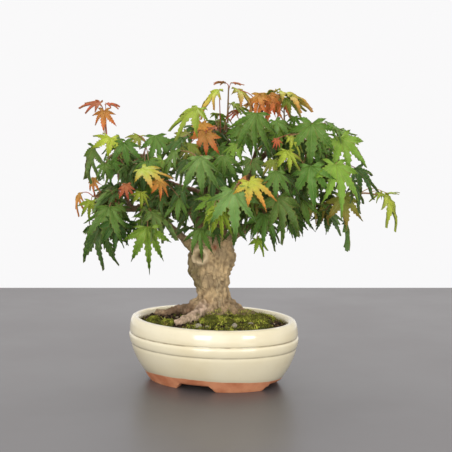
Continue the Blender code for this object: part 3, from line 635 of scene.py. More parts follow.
def makeStones():
    # balls pushed in and out by two sizes of unevenness, flattened and half sunk in the moss
    paint = grainPaint("pumice", 0.25)
    shape, faces = icoBall(4)
    for number, (right, toward, size, turn) in enumerate(stonePlan, 1):
        rough = 1 + 0.20 * wander(shape, 1.3, 40 + number) + 0.09 * wander(shape, 0.4, 50 + number)
        body = shape * rough[:, None] * (1.0, 0.8, 0.66) * size
        u, v = turned(body[:, 0], body[:, 1], turn)
        up = body[:, 2] + soilUnder(right, toward) + size * 0.35
        tint = np.array((0.50, 0.43, 0.33)) * (1 + 0.25 * wander(shape, 0.6, 70 + number)[:, None])
        piece = buildPiece(f"paleStone{number}", place(np.stack([right + u, toward + v, up], -1)), faces,
                           [paint], tints=tint)
        turnOutwards(piece)
        finishPiece(piece, "pumice", f"stone_{number}")
    print("stones:", len(stonePlan))


def sweep(route, radii, sides):
    # a round tube along a route: rings square to it, each turned on from the last; closed by end points
    route = np.asarray(route, float)
    ahead = np.gradient(route, axis=0)
    ahead /= np.linalg.norm(ahead, axis=1, keepdims=True)
    side = np.cross(ahead[0], (0, 0, 1) if abs(ahead[0][2]) < 0.9 else (1, 0, 0))
    angle = ringAngles(sides)[:, None]
    rings = []
    for here, way, radius in zip(route, ahead, radii):
        side = side - way * (side @ way)
        side /= np.linalg.norm(side)
        rings.append(here + radius * (np.cos(angle) * side + np.sin(angle) * np.cross(way, side)))
    return np.vstack([np.concatenate(rings), route[0], route[-1]]), closedFaces(len(route), sides)


# trunk stations: right, toward, up, half width, half depth
trunkPlan = {
    "stations": [(3, -8, 56, 27, 21), (3, -8, 61, 25, 19), (3, -8, 66, 22.5, 17), (2, -8, 72, 19, 15),
                 (1, -8, 79, 16, 13.5), (0, -8, 88, 15, 13), (-1, -8, 97, 16.5, 13.5),
                 (-2, -8, 106, 18.5, 14.5), (-2, -8, 115, 20, 15.5), (-2, -8, 124, 20.5, 15),
                 (-1, -8, 131, 17, 13), (0, -8, 137, 11, 9), (1, -8, 141, 5, 4)],
    "voxel": 0.95,
    # swellings and hollows: right, toward, up, reach, height out of the surface
    "marks": [(-21, -2, 102, 8, 2.6), (17, -2, 121, 9, 2.4), (2, 6, 131, 5.5, 2.2),
              (2, 7.5, 131, 2.6, -1.8), (8, 6, 104, 7, 1.6), (-8, 7, 93, 6, 1.4),
              (10, 6, 84, 6, -1.2), (-3, 8, 112, 7, 1.2), (12, 7, 113, 5, -1.4)],
    # a healed cut: a hollow, painted near black as shade, in a pale ring of callus
    "knot": (-13, 6.5, 122.5), "hollow": 4.6, "hollowDepth": 8.0, "ring": 6.6, "ringHalf": 2.3,
    "ringHeight": 2.0, "scar": (2, 7, 131),
    "barkTone": (0.52, 0.37, 0.195), "lowTone": (0.34, 0.225, 0.125),
    "limbTone": (0.15, 0.085, 0.045), "callusTone": (0.92, 0.72, 0.45), "mossTone": (0.115, 0.095, 0.030),
    "darkRootTone": (0.20, 0.115, 0.070), "paleRootTone": (0.68, 0.49, 0.36), "scarTone": (0.34, 0.11, 0.05),
    # the crease and hollow tones are painted shade
    "creaseShadeTone": (0.085, 0.052, 0.024), "hollowShadeTone": (0.030, 0.014, 0.008),
}

# limbs and roots: right, toward, up and radius at each station
limbPlan = {
    "upper left": [(-6, -8, 128, 8), (-12, -9, 148, 6.5), (-20, -9, 166, 5.2), (-31, -6, 177, 4.6),
                   (-43, -1, 180, 4.1), (-60, 4, 172, 3.6), (-77, 6, 168, 3), (-95, 7, 170, 2.3),
                   (-108, 6, 173, 1.5)],
    "high left": [(-60, 4, 172, 2.4), (-66, 4, 184, 2.0), (-70, 5, 200, 1.4)],
    "outer left": [(-77, 6, 168, 2.2), (-84, 9, 182, 1.7), (-88, 13, 194, 1.2)],
    "lower left": [(-12, -4, 126, 6), (-26, 2, 137, 4.2), (-37, 7, 147, 3.4), (-46, 12, 158, 2.6),
                   (-57, 18, 168, 1.8), (-70, 22, 173, 1.3)],
    "right": [(9, -6, 128, 7), (18, 0, 140, 5), (31, 5, 149, 4.2), (49, 8, 157, 3.6),
              (70, 7, 163, 3.1), (95, 3, 169, 2.4), (118, -1, 174, 1.6), (132, -6, 178, 1.1)],
    "right spur": [(70, 7, 163, 2.2), (80, 4, 176, 1.7), (92, 4, 192, 1.4), (102, 4, 205, 1.1)],
    "upper right": [(3, -8, 134, 8), (10, -10, 152, 6.4), (20, -9, 174, 5), (33, -6, 197, 3.9),
                    (44, -4, 212, 3), (55, -1, 222, 2.2), (66, -2, 230, 1.6)],
    "crown left": [(33, -6, 197, 2.6), (38, -6, 211, 2.1), (42, -5, 224, 1.5)],
    "shoulder right": [(14, -10, 160, 4.4), (30, -14, 171, 3.6), (50, -15, 181, 3), (72, -12, 190, 2.5),
                       (90, -8, 201, 2), (104, -4, 214, 1.4)],
    "leader": [(-1, -8, 132, 8), (0, -8, 155, 6.2), (3, -9, 178, 4.8), (6, -10, 200, 3.6),
               (10, -11, 220, 2.4), (13, -9, 246, 1.5)],
    "leader fork": [(6, -10, 200, 2.2), (2, -10, 212, 1.7), (-2, -7, 224, 1.3)],
    "leader right": [(6, -10, 200, 2.2), (15, -10, 210, 1.9), (22, -9, 222, 1.4)],
    "front": [(0, -2, 130, 6), (-2, 8, 150, 4.2), (-5, 14, 172, 3), (-7, 18, 194, 1.8)],
    "front right": [(-2, 8, 150, 2.6), (12, 17, 164, 2.4), (30, 21, 178, 1.9), (54, 21, 184, 1.3)],
    "front left": [(-5, 14, 172, 2.2), (-22, 17, 178, 1.8), (-41, 16, 181, 1.3)],
    "back": [(0, -13, 130, 7), (-3, -26, 152, 5), (-7, -42, 174, 3.8), (-10, -58, 190, 2.6),
             (-12, -72, 200, 1.6)],
    "back right": [(-3, -26, 152, 3.4), (18, -38, 168, 3), (42, -46, 182, 2.4), (64, -50, 192, 1.6)],
    "back left": [(-7, -42, 174, 2.8), (-28, -48, 182, 2.3), (-50, -46, 188, 1.6)],
    "front root": [(-8, 4, 78, 6), (-15, 12, 69, 5), (-25, 20, 65.5, 4.4), (-35, 27, 63.5, 3.2)],
    "left root": [(-12, -6, 76, 6), (-26, -8, 69.5, 5), (-42, -11, 66.5, 4), (-56, -15, 64, 2.6)],
    "right root": [(12, -4, 74, 7), (24, 0, 68.5, 5.4), (38, 5, 65.5, 3.6)],
    "back root": [(4, -16, 75, 6), (10, -27, 69, 4.6), (16, -36, 66, 3)],
}


def trunkLoft():
    # uneven ovals along the trunk's stations; three waves round it drift as it rises
    stations = follow(trunkPlan["stations"], 70)
    angle = ringAngles(96)
    right, toward, up, wide, deep = stations.T[:, :, None]
    swell = (1 + 0.055 * np.sin(3 * angle + up / 9.0) + 0.04 * np.sin(5 * angle - up / 6.0)
             + 0.03 * np.sin(2 * angle + up / 15.0))
    loft = np.stack([right + wide * swell * np.cos(angle), toward + deep * swell * np.sin(angle),
                     up + 0 * swell], -1)
    points = np.vstack([loft.reshape(-1, 3), stations[0, :3], stations[-1, :3]])
    return points, closedFaces(len(stations), len(angle))


def limbTube(name, route):
    # a crooked tube with swellings at its nodes
    line = follow(route, 14 * (len(route) - 1))
    line[:, :3] += np.stack([wander(line[:, :3], 22, 60 + k) for k in range(3)], -1) * 0.9
    knobs = 1 + 0.10 * wander(line[:, :3], 9, 70) + 0.10 * np.sin(np.arange(len(line)) * 0.9) ** 8
    if name.endswith("root"):
        line[:, 2] -= 1.2
    return sweep(line[:, :3], line[:, 3] * knobs, 16)


def nearness(spots, middle, reach):
    # 1 at a place of the tree's frame, falling off round it
    away = np.linalg.norm(spots - place(middle) / mm, axis=1)
    return np.exp(-(away / reach) ** 2)


def barkRelief(spots):
    # how far the bark stands out: lumps, upright ridges, fine grain, marks and the healed cut
    thick = smoothStep(145, 120, spots[:, 2])
    lumps = wander(spots, 11, 80) * 1.0 * thick + wander(spots, 4.2, 81) * (0.18 + 0.50 * thick)
    ridges = np.abs(wander(spots * (1, 1, 0.4), 7, 82)) * (0.12 + 0.95 * thick)
    push = lumps + ridges + wander(spots, 1.9, 83) * (0.06 + 0.08 * thick)
    for right, toward, high, reach, height in trunkPlan["marks"]:
        push += height * nearness(spots, (right, toward, high), reach / math.sqrt(1.6))
    away = np.linalg.norm(spots - place(trunkPlan["knot"]) / mm, axis=1)
    hollow = nearness(spots, trunkPlan["knot"], trunkPlan["hollow"] / math.sqrt(1.4))
    callus = np.exp(-((away - trunkPlan["ring"]) / trunkPlan["ringHalf"]) ** 2)
    push += callus * trunkPlan["ringHeight"] - hollow * trunkPlan["hollowDepth"]
    return {"push": push, "thick": thick, "lumps": lumps, "ridges": ridges,
            "hollow": hollow, "callus": callus}


def blend(tint, part, tone):
    return tint + part[:, None] * (np.array(tone) - tint)


def barkTones(spots, relief):
    # tone by height, then roots, mossy film, painted shade in the creases, callus, the hollow painted near
    # black as shade, and scar; and where moss grows
    up = spots[:, 2]
    right, toward = treeTurn(spots[:, 0] - potMiddle[0] / mm, spots[:, 1] - potMiddle[1] / mm)
    tint = np.tile(np.array(trunkPlan["barkTone"]), (len(spots), 1))
    tint = blend(tint, smoothStep(95, 62, up), trunkPlan["lowTone"])
    tint = blend(tint, smoothStep(132, 160, up), trunkPlan["limbTone"])
    film = smoothStep(-7, -15, right + 3 * wander(spots, 10, 85)) * smoothStep(84, 92, up) * relief["thick"]
    darkRoot = smoothStep(-14, -24, right) * smoothStep(80, 72, up) * smoothStep(9, 2, toward)
    tint = blend(tint, darkRoot * 0.8, trunkPlan["darkRootTone"])
    paleRoot = smoothStep(6, 12, toward) * smoothStep(4, -6, right) * smoothStep(84, 76, up)
    tint = blend(tint, paleRoot * 0.9, trunkPlan["paleRootTone"])
    base = smoothStep(74, 64, up + 4 * wander(spots, 9, 86)) * smoothStep(-25, -5, right)
    tint = blend(tint, np.maximum(film * 0.85, base * 0.75), trunkPlan["mossTone"])
    # painted shade: darker where the lumps sink and between the ridges
    creaseShade = np.maximum(smoothStep(0.35, -1.0, relief["lumps"]) * 0.6,
                        smoothStep(0.20, 0.02, relief["ridges"]) * 0.45)
    tint = blend(tint, creaseShade * relief["thick"] ** 0.3, trunkPlan["creaseShadeTone"])
    tint = tint * (1.08 + 0.24 * wander(spots, 6, 84) + 0.24 * wander(spots, 14, 87))[:, None]
    tint = blend(tint, relief["callus"] * 0.85, trunkPlan["callusTone"])
    # painted shade: the hollow is painted near black
    tint = blend(tint, smoothStep(0.35, 0.75, relief["hollow"]), trunkPlan["hollowShadeTone"])
    scar = nearness(spots, trunkPlan["scar"], 3.4)
    tint = blend(tint, scar, trunkPlan["scarTone"])
    bare = np.maximum(smoothStep(0.2, 0.6, relief["hollow"]), np.maximum(relief["callus"] * 0.7, scar))
    return np.column_stack([tint, 1 - bare]), base > 0.35


def makeTrunk():
    # trunk loft and limb tubes are fused by a voxel remesh, then pushed out by the bark's relief
    wood = Heap()
    wood.add(*trunkLoft())
    for name, route in limbPlan.items():
        wood.add(*limbTube(name, route))
    piece = buildPiece("trunkAndLimbs", place(np.vstack(wood.points)), wood.faces, [barkPaint()])
    turnOutwards(piece)
    fuse = piece.modifiers.new("Fuse", "REMESH")
    fuse.mode = "VOXEL"
    fuse.voxel_size = trunkPlan["voxel"] * mm
    relax = piece.modifiers.new("Relax", "SMOOTH")
    relax.iterations = 4
    relax.factor = 0.5
    applyModifiers(piece)
    mesh = piece.data
    spots, normals = np.empty((2, len(mesh.vertices) * 3))
    mesh.vertices.foreach_get("co", spots)
    mesh.vertex_normals.foreach_get("vector", normals)
    spots, normals = spots.reshape(-1, 3) / mm, normals.reshape(-1, 3)
    relief = barkRelief(spots)
    spots = spots + normals * relief["push"][:, None]
    mesh.vertices.foreach_set("co", (spots * mm).ravel())
    tints, damp = barkTones(spots, relief)
    setTint(mesh, tints)
    mesh.update()
    mesh.shade_smooth()
    finishPiece(piece, "bark", "trunk")
    print("trunk:", len(mesh.polygons), "faces")
    return spots[damp & (spots[:, 2] > 62) & (normals[:, 2] > 0.15)]


# shoots: twig start, twig end, then each leaf's junction, middle lobe, where it points, droop and tone
shootPlan = {
    "crest_far_left": ((-97, 8, 203), (-102, 8, 260), [
        ((-105, 8, 267), 20, -90, 2, "red"), ((-100, 8, 267), 15, 90, 0, "red"),
        ((-101, 12, 261), 20, -15, 72, "orange")]),
    "high_left": ((-88, 14, 196), (-91, 18, 226), [
        ((-94, 30, 237), 25, -10, 48, "lime"), ((-111, 8, 228), 38, -75, 72, "green"),
        ((-81, 34, 233), 27, 15, 62, "green"), ((-99, 30, 213), 18, -20, 62, "green")]),
    "shoulder_left": ((-70, 5, 202), (-62, 10, 228), [
        ((-70, 0, 237), 20, -30, 40, "olive"), ((-53, 14, 238), 34, 35, 68, "green"),
        ((-59, 32, 216), 26, 5, 42, "green"), ((-62, 36, 211), 34, 75, 22, "deep")]),
    "tip_left": ((-104, 10, 176), (-113, 8, 180), [
        ((-125, 4, 183), 20, -55, 58, "orange"), ((-114, 16, 177), 21, -20, 66, "lime"),
        ((-112, 2, 197), 17, -40, 68, "orange"), ((-90, 26, 186), 27, -55, 32, "deep")]),
    "skirt_left": ((-85, 14, 172), (-93, 30, 175), [
        ((-94, 46, 175), 44, -28, 68, "green"), ((-103, 34, 155), 44, -42, 76, "deep"),
        ((-89, 50, 162), 30, 5, 74, "deep"), ((-79, 38, 195), 17, 0, 76, "red")]),
    "low_left": ((-64, 22, 174), (-58, 50, 172), [
        ((-58, 72, 160), 40, 2, 76, "bright"), ((-56, 56, 172), 38, 42, 44, "green"),
        ((-73, 26, 159), 24, -40, 58, "deep"), ((-65, 50, 189), 18, 0, 58, "lime")]),
    "heart_left": ((-43, 18, 182), (-49, 48, 198), [
        ((-63, 68, 212), 31, 62, 22, "gold"), ((-48, 60, 200), 17, 15, 62, "orange"),
        ((-28, 42, 193), 28, -35, 40, "deep"), ((-42, 36, 174), 30, -30, 50, "deep")]),
    "crest_west": ((-2, -6, 226), (-5, 4, 240), [
        ((-13, 26, 264), 37, -55, 38, "lime"), ((-10, 20, 250), 18, -15, 68, "orange"),
        ((-6, 30, 241), 24, -5, 72, "rust"), ((-24, 8, 240), 26, -60, 40, "olive"),
        ((-28, 16, 236), 36, -52, 48, "deep")]),
    "crest_fork": ((10, -12, 224), (5, -8, 242), [
        ((3, -4, 245), 13, -60, 12, "red"), ((6, 2, 280), 34, -52, 36, "gold"),
        ((17, 0, 267), 22, 70, 28, "lime")]),
    "crest_leader": ((14, -9, 248), (15, -6, 283), [
        ((12, -6, 286), 12, -90, -12, "red"), ((17, -6, 286), 12, 90, -6, "red"),
        ((26, 2, 260), 16, -80, 14, "red"), ((27, 30, 249), 30, -28, 68, "green")]),
    "crest_crown": ((43, -4, 226), (47, 2, 260), [
        ((23, 10, 281), 28, 48, 34, "gold"), ((56, -4, 277), 32, -62, 6, "gold"),
        ((52, 18, 275), 23, -12, 62, "rust"), ((40, 54, 261), 42, -34, 76, "green")]),
    "crest_east": ((68, -3, 232), (67, 2, 264), [
        ((60, 14, 276), 26, 25, 58, "rust"), ((62, 2, 278), 40, 64, 16, "gold"),
        ((68, 16, 273), 26, 52, 38, "olive"), ((58, 34, 253), 24, 50, 42, "green"),
        ((76, 6, 255), 15, 10, 68, "green")]),
    "high_right": ((86, 4, 206), (90, 42, 238), [
        ((90, 56, 252), 39, 2, 78, "green"), ((106, 26, 251), 27, 52, 40, "green"),
        ((70, 54, 240), 20, 52, 44, "lime"), ((58, 56, 238), 11, 5, 70, "red")]),
    "outer_right": ((105, -3, 216), (118, 8, 232), [
        ((115, 0, 242), 27, 86, 18, "green"), ((118, 32, 237), 38, 44, 68, "bright"),
        ((129, 6, 228), 22, 80, 42, "deep"), ((110, -20, 217), 22, -20, 50, "deep")]),
    "face_right": ((80, 14, 190), (87, 50, 207), [
        ((89, 62, 214), 38, 0, 78, "green"), ((67, 62, 228), 24, 10, 58, "lime"),
        ((80, 34, 202), 24, -30, 52, "deep"), ((55, 60, 219), 19, -30, 60, "olive")]),
    "shoulder_right": ((103, 6, 206), (119, 20, 210), [
        ((112, 50, 214), 46, 34, 62, "bright"), ((133, 18, 208), 34, 60, 50, "deep"),
        ((128, 36, 198), 30, 45, 62, "deep")]),
    "reach_right": ((133, -6, 179), (162, -18, 178), [
        ((166, -18, 177), 35, 72, 58, "lime"), ((163, -16, 180), 14, -80, 20, "lime"),
        ((169, -24, 179), 13, 120, -10, "lime")]),
    "skirt_right": ((109, 3, 173), (120, 10, 169), [
        ((122, 20, 181), 31, 20, 72, "olive"), ((124, -2, 162), 40, 82, 74, "green"),
        ((104, 14, 172), 20, 40, 60, "olive")]),
    "face_left": ((-7, 19, 195), (-6, 66, 216), [
        ((-10, 86, 225), 40, 0, 74, "pale"), ((10, 72, 224), 27, 15, 68, "green"),
        ((-23, 56, 219), 26, -35, 60, "deep"), ((1, 52, 207), 28, 0, 66, "deep")]),
    "face_centre": ((31, 22, 180), (31, 66, 198), [
        ((33, 82, 202), 31, 42, 38, "gold"), ((30, 72, 206), 17, -62, 28, "rust"),
        ((19, 88, 195), 42, 0, 74, "pale"), ((39, 58, 186), 20, 20, 60, "olive")]),
    "south_right": ((56, 22, 185), (58, 60, 197), [
        ((57, 76, 211), 30, 2, 74, "green"), ((59, 68, 186), 43, 24, 68, "green"),
        ((74, 44, 194), 26, 30, 60, "deep"), ((46, 48, 198), 26, -30, 60, "deep")]),
    "south_centre": ((2, 16, 170), (5, 62, 183), [
        ((1, 60, 184), 26, -22, 50, "bright"), ((2, 76, 179), 24, -48, 58, "lime"),
        ((7, 80, 177), 29, 14, 72, "lime"), ((-12, 48, 183), 36, -55, 44, "deep")]),
    "trunk_sprig": ((-2, 12, 152), (-8, 40, 156), [
        ((-11, 48, 155), 30, 0, 66, "green"), ((-22, 28, 152), 20, -75, 8, "deep"),
        ((1, 38, 154), 20, 50, 50, "deep")]),
    "low_right": ((44, 12, 159), (48, 44, 171), [
        ((47, 60, 170), 32, 0, 60, "green"), ((66, 52, 174), 30, 28, 62, "green"),
        ((26, 30, 170), 17, 0, 66, "deep"), ((41, 28, 142), 17, 52, 54, "lime")]),
    "under_right": ((80, 8, 167), (84, 34, 178), [
        ((82, 42, 181), 28, 22, 58, "green"), ((91, 26, 174), 18, 46, 58, "olive"),
        ((74, 36, 168), 26, 10, 68, "deep")]),
    "back_top": ((10, -14, 222), (4, -38, 240), [
        ((2, -48, 248), 32, 178, 58, "green"), ((-14, -40, 244), 26, -125, 50, "deep"),
        ((18, -42, 240), 28, 130, 52, "green"), ((4, -30, 256), 22, 150, 20, "lime")]),
    "back_centre": ((-12, -73, 202), (-10, -88, 210), [
        ((-10, -98, 206), 36, 180, 70, "green"), ((-26, -88, 208), 30, -130, 60, "deep"),
        ((8, -88, 212), 32, 135, 58, "green"), ((-10, -84, 222), 24, 170, 30, "bright")]),
    "back_low": ((-9, -52, 182), (-4, -74, 172), [
        ((-4, -84, 168), 38, 178, 74, "deep"), ((-20, -70, 168), 30, -140, 66, "green"),
        ((14, -68, 170), 30, 140, 64, "deep")]),
    "back_right": ((65, -50, 194), (78, -62, 202), [
        ((84, -70, 202), 36, 140, 62, "green"), ((92, -52, 206), 30, 100, 54, "bright"),
        ((70, -72, 198), 32, 175, 66, "deep"), ((76, -56, 214), 24, 130, 30, "lime")]),
    "back_right_low": ((42, -47, 180), (48, -66, 172), [
        ((50, -76, 168), 38, 170, 74, "green"), ((64, -62, 170), 30, 110, 62, "deep"),
        ((34, -68, 172), 28, -165, 66, "green")]),
    "back_left": ((-51, -46, 189), (-66, -56, 196), [
        ((-74, -62, 196), 36, -140, 62, "bright"), ((-78, -44, 198), 30, -100, 56, "green"),
        ((-60, -68, 194), 34, -175, 68, "deep"), ((-64, -52, 208), 24, -130, 30, "olive")]),
    "back_left_low": ((-30, -48, 181), (-42, -64, 172), [
        ((-46, -72, 168), 38, -160, 74, "deep"), ((-60, -54, 170), 30, -110, 62, "green"),
        ((-30, -72, 174), 28, 165, 66, "green")]),
    "back_crown": ((56, -3, 221), (58, -30, 238), [
        ((58, -40, 242), 34, 172, 60, "gold"), ((74, -30, 244), 28, 110, 48, "green"),
        ((42, -36, 244), 28, -150, 50, "olive")]),
    "back_high_left": ((-70, 3, 198), (-76, -22, 214), [
        ((-80, -32, 214), 34, -160, 64, "green"), ((-92, -14, 214), 28, -95, 56, "lime"),
        ((-66, -30, 216), 26, 165, 58, "deep")]),
    "back_shoulder": ((92, -9, 200), (100, -34, 206), [
        ((104, -44, 206), 34, 150, 64, "green"), ((116, -30, 208), 30, 95, 54, "deep"),
        ((88, -42, 208), 26, -175, 58, "green")]),
}

# lobes are bearing and length; leaves are filled in around each twig
leafPlan = {
    "lobes": [(-116, 0.34), (-76, 0.67), (-38, 0.92), (0, 1.0), (38, 0.92), (76, 0.67), (116, 0.34)],
    "notch": 0.30, "rowsIn": 4, "rowsOut": 12, "bulge": 0.072, "teeth": 0.21, "thickness": 0.26,
    "fillers": 6, "seed": 27, "petiole": 0.42, "twig": 0.95, "twigTone": (0.30, 0.20, 0.10),
    # deep, the tone of most inner leaves, is green darkened as painted shade
    "fillTones": ["deep", "green", "deep", "green", "bright", "deep"],
    "fillBox": [(-94, -80, 160), (106, 80, 246)],
    "bareTwigs": ("reach", "crest_far", "leader", "sprig", "fork"),
    "hang": {"gold": 0.08, "orange": 0.18, "rust": 0.20, "red": 0.10},     # young leaves hang more
    "underTone": (0.05, 0.07, 0.03),
    # leaves that close the gaps in front of the upper limbs
    "extras": {
        "face_centre": [((36, 46, 218), 30, 12, 58, "green"), ((22, 40, 232), 24, -25, 52, "bright")],
        "crest_crown": [((30, 26, 243), 30, -12, 50, "green"), ((48, 22, 236), 27, 30, 58, "deep"),
                        ((44, 16, 277), 27, -30, 55, "rust"), ((50, 14, 274), 27, 25, 62, "orange")],
        "crest_west": [((-20, 30, 232), 28, -30, 52, "olive"), ((6, 24, 228), 27, 10, 60, "green")],
        "face_left": [((-34, 40, 226), 27, -40, 55, "green"), ((14, 44, 212), 30, 20, 64, "deep")],
        "low_right": [((28, 40, 190), 28, 15, 62, "deep"), ((22, 30, 156), 22, -10, 66, "green")],
        "heart_left": [((-30, 50, 184), 27, -15, 60, "green"), ((-46, 30, 216), 26, -35, 52, "bright")],
    },
}

# leaf tones: colour by the junction, colour towards the tips, stalk colour (linear)
tones = {
    "green": ((0.110, 0.205, 0.034), (0.078, 0.165, 0.027), (0.24, 0.12, 0.05)),
    # deep is the green darkened: painted shade for leaves inside the crown
    "deep": ((0.054, 0.116, 0.022), (0.040, 0.090, 0.017), (0.20, 0.08, 0.04)),
    "bright": ((0.200, 0.335, 0.038), (0.145, 0.275, 0.030), (0.30, 0.19, 0.06)),
    "pale": ((0.175, 0.290, 0.078), (0.125, 0.235, 0.056), (0.28, 0.18, 0.08)),
    "lime": ((0.330, 0.420, 0.040), (0.270, 0.350, 0.032), (0.40, 0.26, 0.08)),
    "olive": ((0.200, 0.235, 0.030), (0.240, 0.165, 0.030), (0.34, 0.11, 0.05)),
    "gold": ((0.400, 0.430, 0.045), (0.600, 0.235, 0.048), (0.42, 0.11, 0.05)),
    "orange": ((0.560, 0.270, 0.055), (0.740, 0.190, 0.055), (0.42, 0.09, 0.05)),
    "rust": ((0.460, 0.200, 0.045), (0.640, 0.125, 0.045), (0.38, 0.07, 0.045)),
    "red": ((0.400, 0.110, 0.045), (0.500, 0.070, 0.045), (0.34, 0.06, 0.045)),
}


def leafOutline(length, half, notch):
    # one side of a lobe from junction to tip: middle distance, edge distance and edge offset.
    # Up to the notch the edge is the line shared with the next lobe, beyond it a toothed blade.
    inner = np.linspace(0, notch, leafPlan["rowsIn"] + 1)
    foot, start = notch * math.cos(half), notch * math.sin(half)
    row = np.arange(1, leafPlan["rowsOut"] + 1)
    s = row / leafPlan["rowsOut"]
    width = (start * (1 - s) + leafPlan["bulge"] * length * np.sin(math.pi * s ** 0.8)) * (1 - s) ** 0.35
    tooth = np.where(row % 2, leafPlan["teeth"], -leafPlan["teeth"])
    ahead = np.where((row % 2 == 1) & (s < 0.95), 0.02 * length, 0)
    reach = foot + (length - foot) * s
    return np.vstack([np.stack([inner, inner * math.cos(half), inner * math.sin(half)], -1),
                      np.stack([reach, reach + ahead, width * (1 + tooth)], -1)])


def makeLeafShape():
    # seven lobes side by side, each a strip of rows with five points across, welded where they meet
    lobes = leafPlan["lobes"]
    rows = leafPlan["rowsIn"] + leafPlan["rowsOut"] + 1
    across = np.array((1, 0.5, 0, 0.5, 1))
    points, faces = [], []
    for k, (bearing, length) in enumerate(lobes):
        sides = []
        for other in (k - 1, k + 1):
            beside = lobes[other] if 0 <= other < len(lobes) else (bearing + 40, length)
            notch = leafPlan["notch"] * min(1, min(length, beside[1]) / 0.62)
            sides.append(leafOutline(length, math.radians(abs(beside[0] - bearing) / 2), notch))
        a = math.radians(bearing)
        along, aside = np.array((math.cos(a), math.sin(a))), np.array((-math.sin(a), math.cos(a)))
        middle = along * (sides[0][:, :1] + sides[1][:, :1]) / 2
        left, right = (along * side[:, 1:2] + sign * aside * side[:, 2:]
                       for sign, side in zip((-1, 1), sides))
        edge = np.stack([left, left, right, right, right], 1)
        points.append(middle[:, None] * (1 - across[:, None]) + edge * across[:, None])
        faces.append(gridFaces(rows, 5, wrap=False, start=k * rows * 5))
    points, faces = np.concatenate(points).reshape(-1, 2), np.vstack(faces)
    chart = np.stack(np.broadcast_arrays(across, np.linspace(0, 1, rows)[:, None]), -1)
    chart = np.tile(chart.reshape(-1, 2), (len(lobes), 1))
    welded, back = np.unique(np.round(points, 5), axis=0, return_inverse=True)
    back = back.ravel()
    toEdge = np.zeros(len(welded))
    np.maximum.at(toEdge, back, chart[:, 0])
    kept, corners = [], []
    for face in faces:
        ring = back[face].tolist()
        keep = [i for i in range(4) if ring[i] != ring[i - 1]]
        if len(keep) > 2:
            kept.append([ring[i] for i in keep])
            corners.append([tuple(chart[face[i]]) for i in keep])
    lines = dict.fromkeys((a, b) for face in kept for a, b in zip(face, face[1:] + face[:1]))
    rim = [(a, b) for a, b in lines if (b, a) not in lines]
    return {"flat": welded, "faces": kept, "corners": corners, "rim": rim, "edge": toEdge}


def bendLeaf(shape, length, hang, draw):
    # the flat leaf in millimetres: tips fall, lobes fold along their middles, margins wave
    reach = np.hypot(*shape["flat"].T)
    bearing = np.arctan2(shape["flat"][:, 1], shape["flat"][:, 0])
    swing = bearing * draw.uniform(0.66, 0.98) + 0.07 * np.sin(2.6 * bearing + draw.uniform(0, 6))
    stretch = reach * (1 + 0.09 * np.sin(3.3 * bearing + draw.uniform(0, 6)) * reach)
    flat = np.stack([stretch * np.cos(swing), stretch * np.sin(swing)], -1) * length
    fall = draw.uniform(0.12, 0.34) + hang
    fold = draw.uniform(0.035, 0.10)
    twist = draw.uniform(-0.20, 0.20)
    wave = draw.uniform(0.012, 0.034)
    z = -fall * reach ** 2 + fold * shape["edge"] * smoothStep(0.05, 0.4, reach)
    z = z + twist * shape["flat"][:, 1] * reach + wave * np.sin(5 * bearing + 9 * reach + draw.uniform(0, 6))
    z = z + 0.10 * np.abs(shape["flat"][:, 1]) * draw.uniform(-1.2, 0.6)
    return np.column_stack([flat, z * length])


def makeLeaf(shape, leaf, draw):
    # top and underside a leaf's thickness apart, joined by a rim; the middle lobe points along heading
    junction, length, heading, droop, tone = leaf
    bent = bendLeaf(shape, length, leafPlan["hang"].get(tone, 0.0), draw)
    turn, fall = math.radians(heading), math.radians(droop)
    roll = draw.uniform(-22, 22)
    level = np.array((math.sin(turn), math.cos(turn), 0))
    side = np.array((-level[1], level[0], 0))
    along = level * math.cos(fall) - np.array((0, 0, math.sin(fall)))
    upper = level * math.sin(fall) + np.array((0, 0, math.cos(fall)))
    upper, side = turned(upper, side, roll)
    half = (0, 0, leafPlan["thickness"] / 2)
    points = np.vstack([bent + half, bent - half]) @ np.stack([along, side, upper]) + np.array(junction)
    count = len(bent)
    under = [[index + count for index in face[::-1]] for face in shape["faces"]]
    rim = [[b, a, a + count, b + count] for a, b in shape["rim"]]
    corners = [c for corner in shape["corners"] for c in corner]
    corners += [c for corner in shape["corners"] for c in corner[::-1]] + [(1, 0.5)] * (4 * len(rim))
    near, far, _ = (np.array(colour) for colour in tones[tone])
    shift = draw.uniform(0.82, 1.18) * (1 + draw.uniform(-0.08, 0.08, 3))
    reach = smoothStep(0.1, 0.95, np.hypot(*shape["flat"].T))[:, None]
    topTint = (near * (1 - reach) + far * reach) * shift
    underTint = topTint * 0.75 + np.array(leafPlan["underTone"])
    return points, shape["faces"] + under + rim, np.vstack([topTint, underTint]), 0, corners


def fillLeaves(name, start, end, leaves, draw):
    # smaller inner leaves round the twig, turned away from the trunk, so that the crown has depth; most take
    # the deep tone, a painted shade
    start, end = np.array(start, float), np.array(end, float)
    away = math.degrees(math.atan2(end[0], end[1]))
    extra = []
    bare = any(word in name for word in leafPlan["bareTwigs"])
    for _ in range(0 if bare else leafPlan["fillers"]):
        spot = start + (end - start) * draw.uniform(0.2, 0.95) + draw.uniform(-12, 12, 3)
        extra.append((np.clip(spot, *leafPlan["fillBox"]), draw.uniform(19, 30), away + draw.uniform(-90, 90),
                      draw.uniform(35, 75), leafPlan["fillTones"][draw.integers(6)]))
    return leaves + leafPlan["extras"].get(name, []) + extra


def addStalk(heap, route, radii, sides, tone):
    tube, faces = sweep(route, radii, sides)
    heap.add(tube, [face[::-1] for face in faces], np.tile(tone, (len(tube), 1)), 1,
             [(0.5, 0.5)] * sum(map(len, faces)))


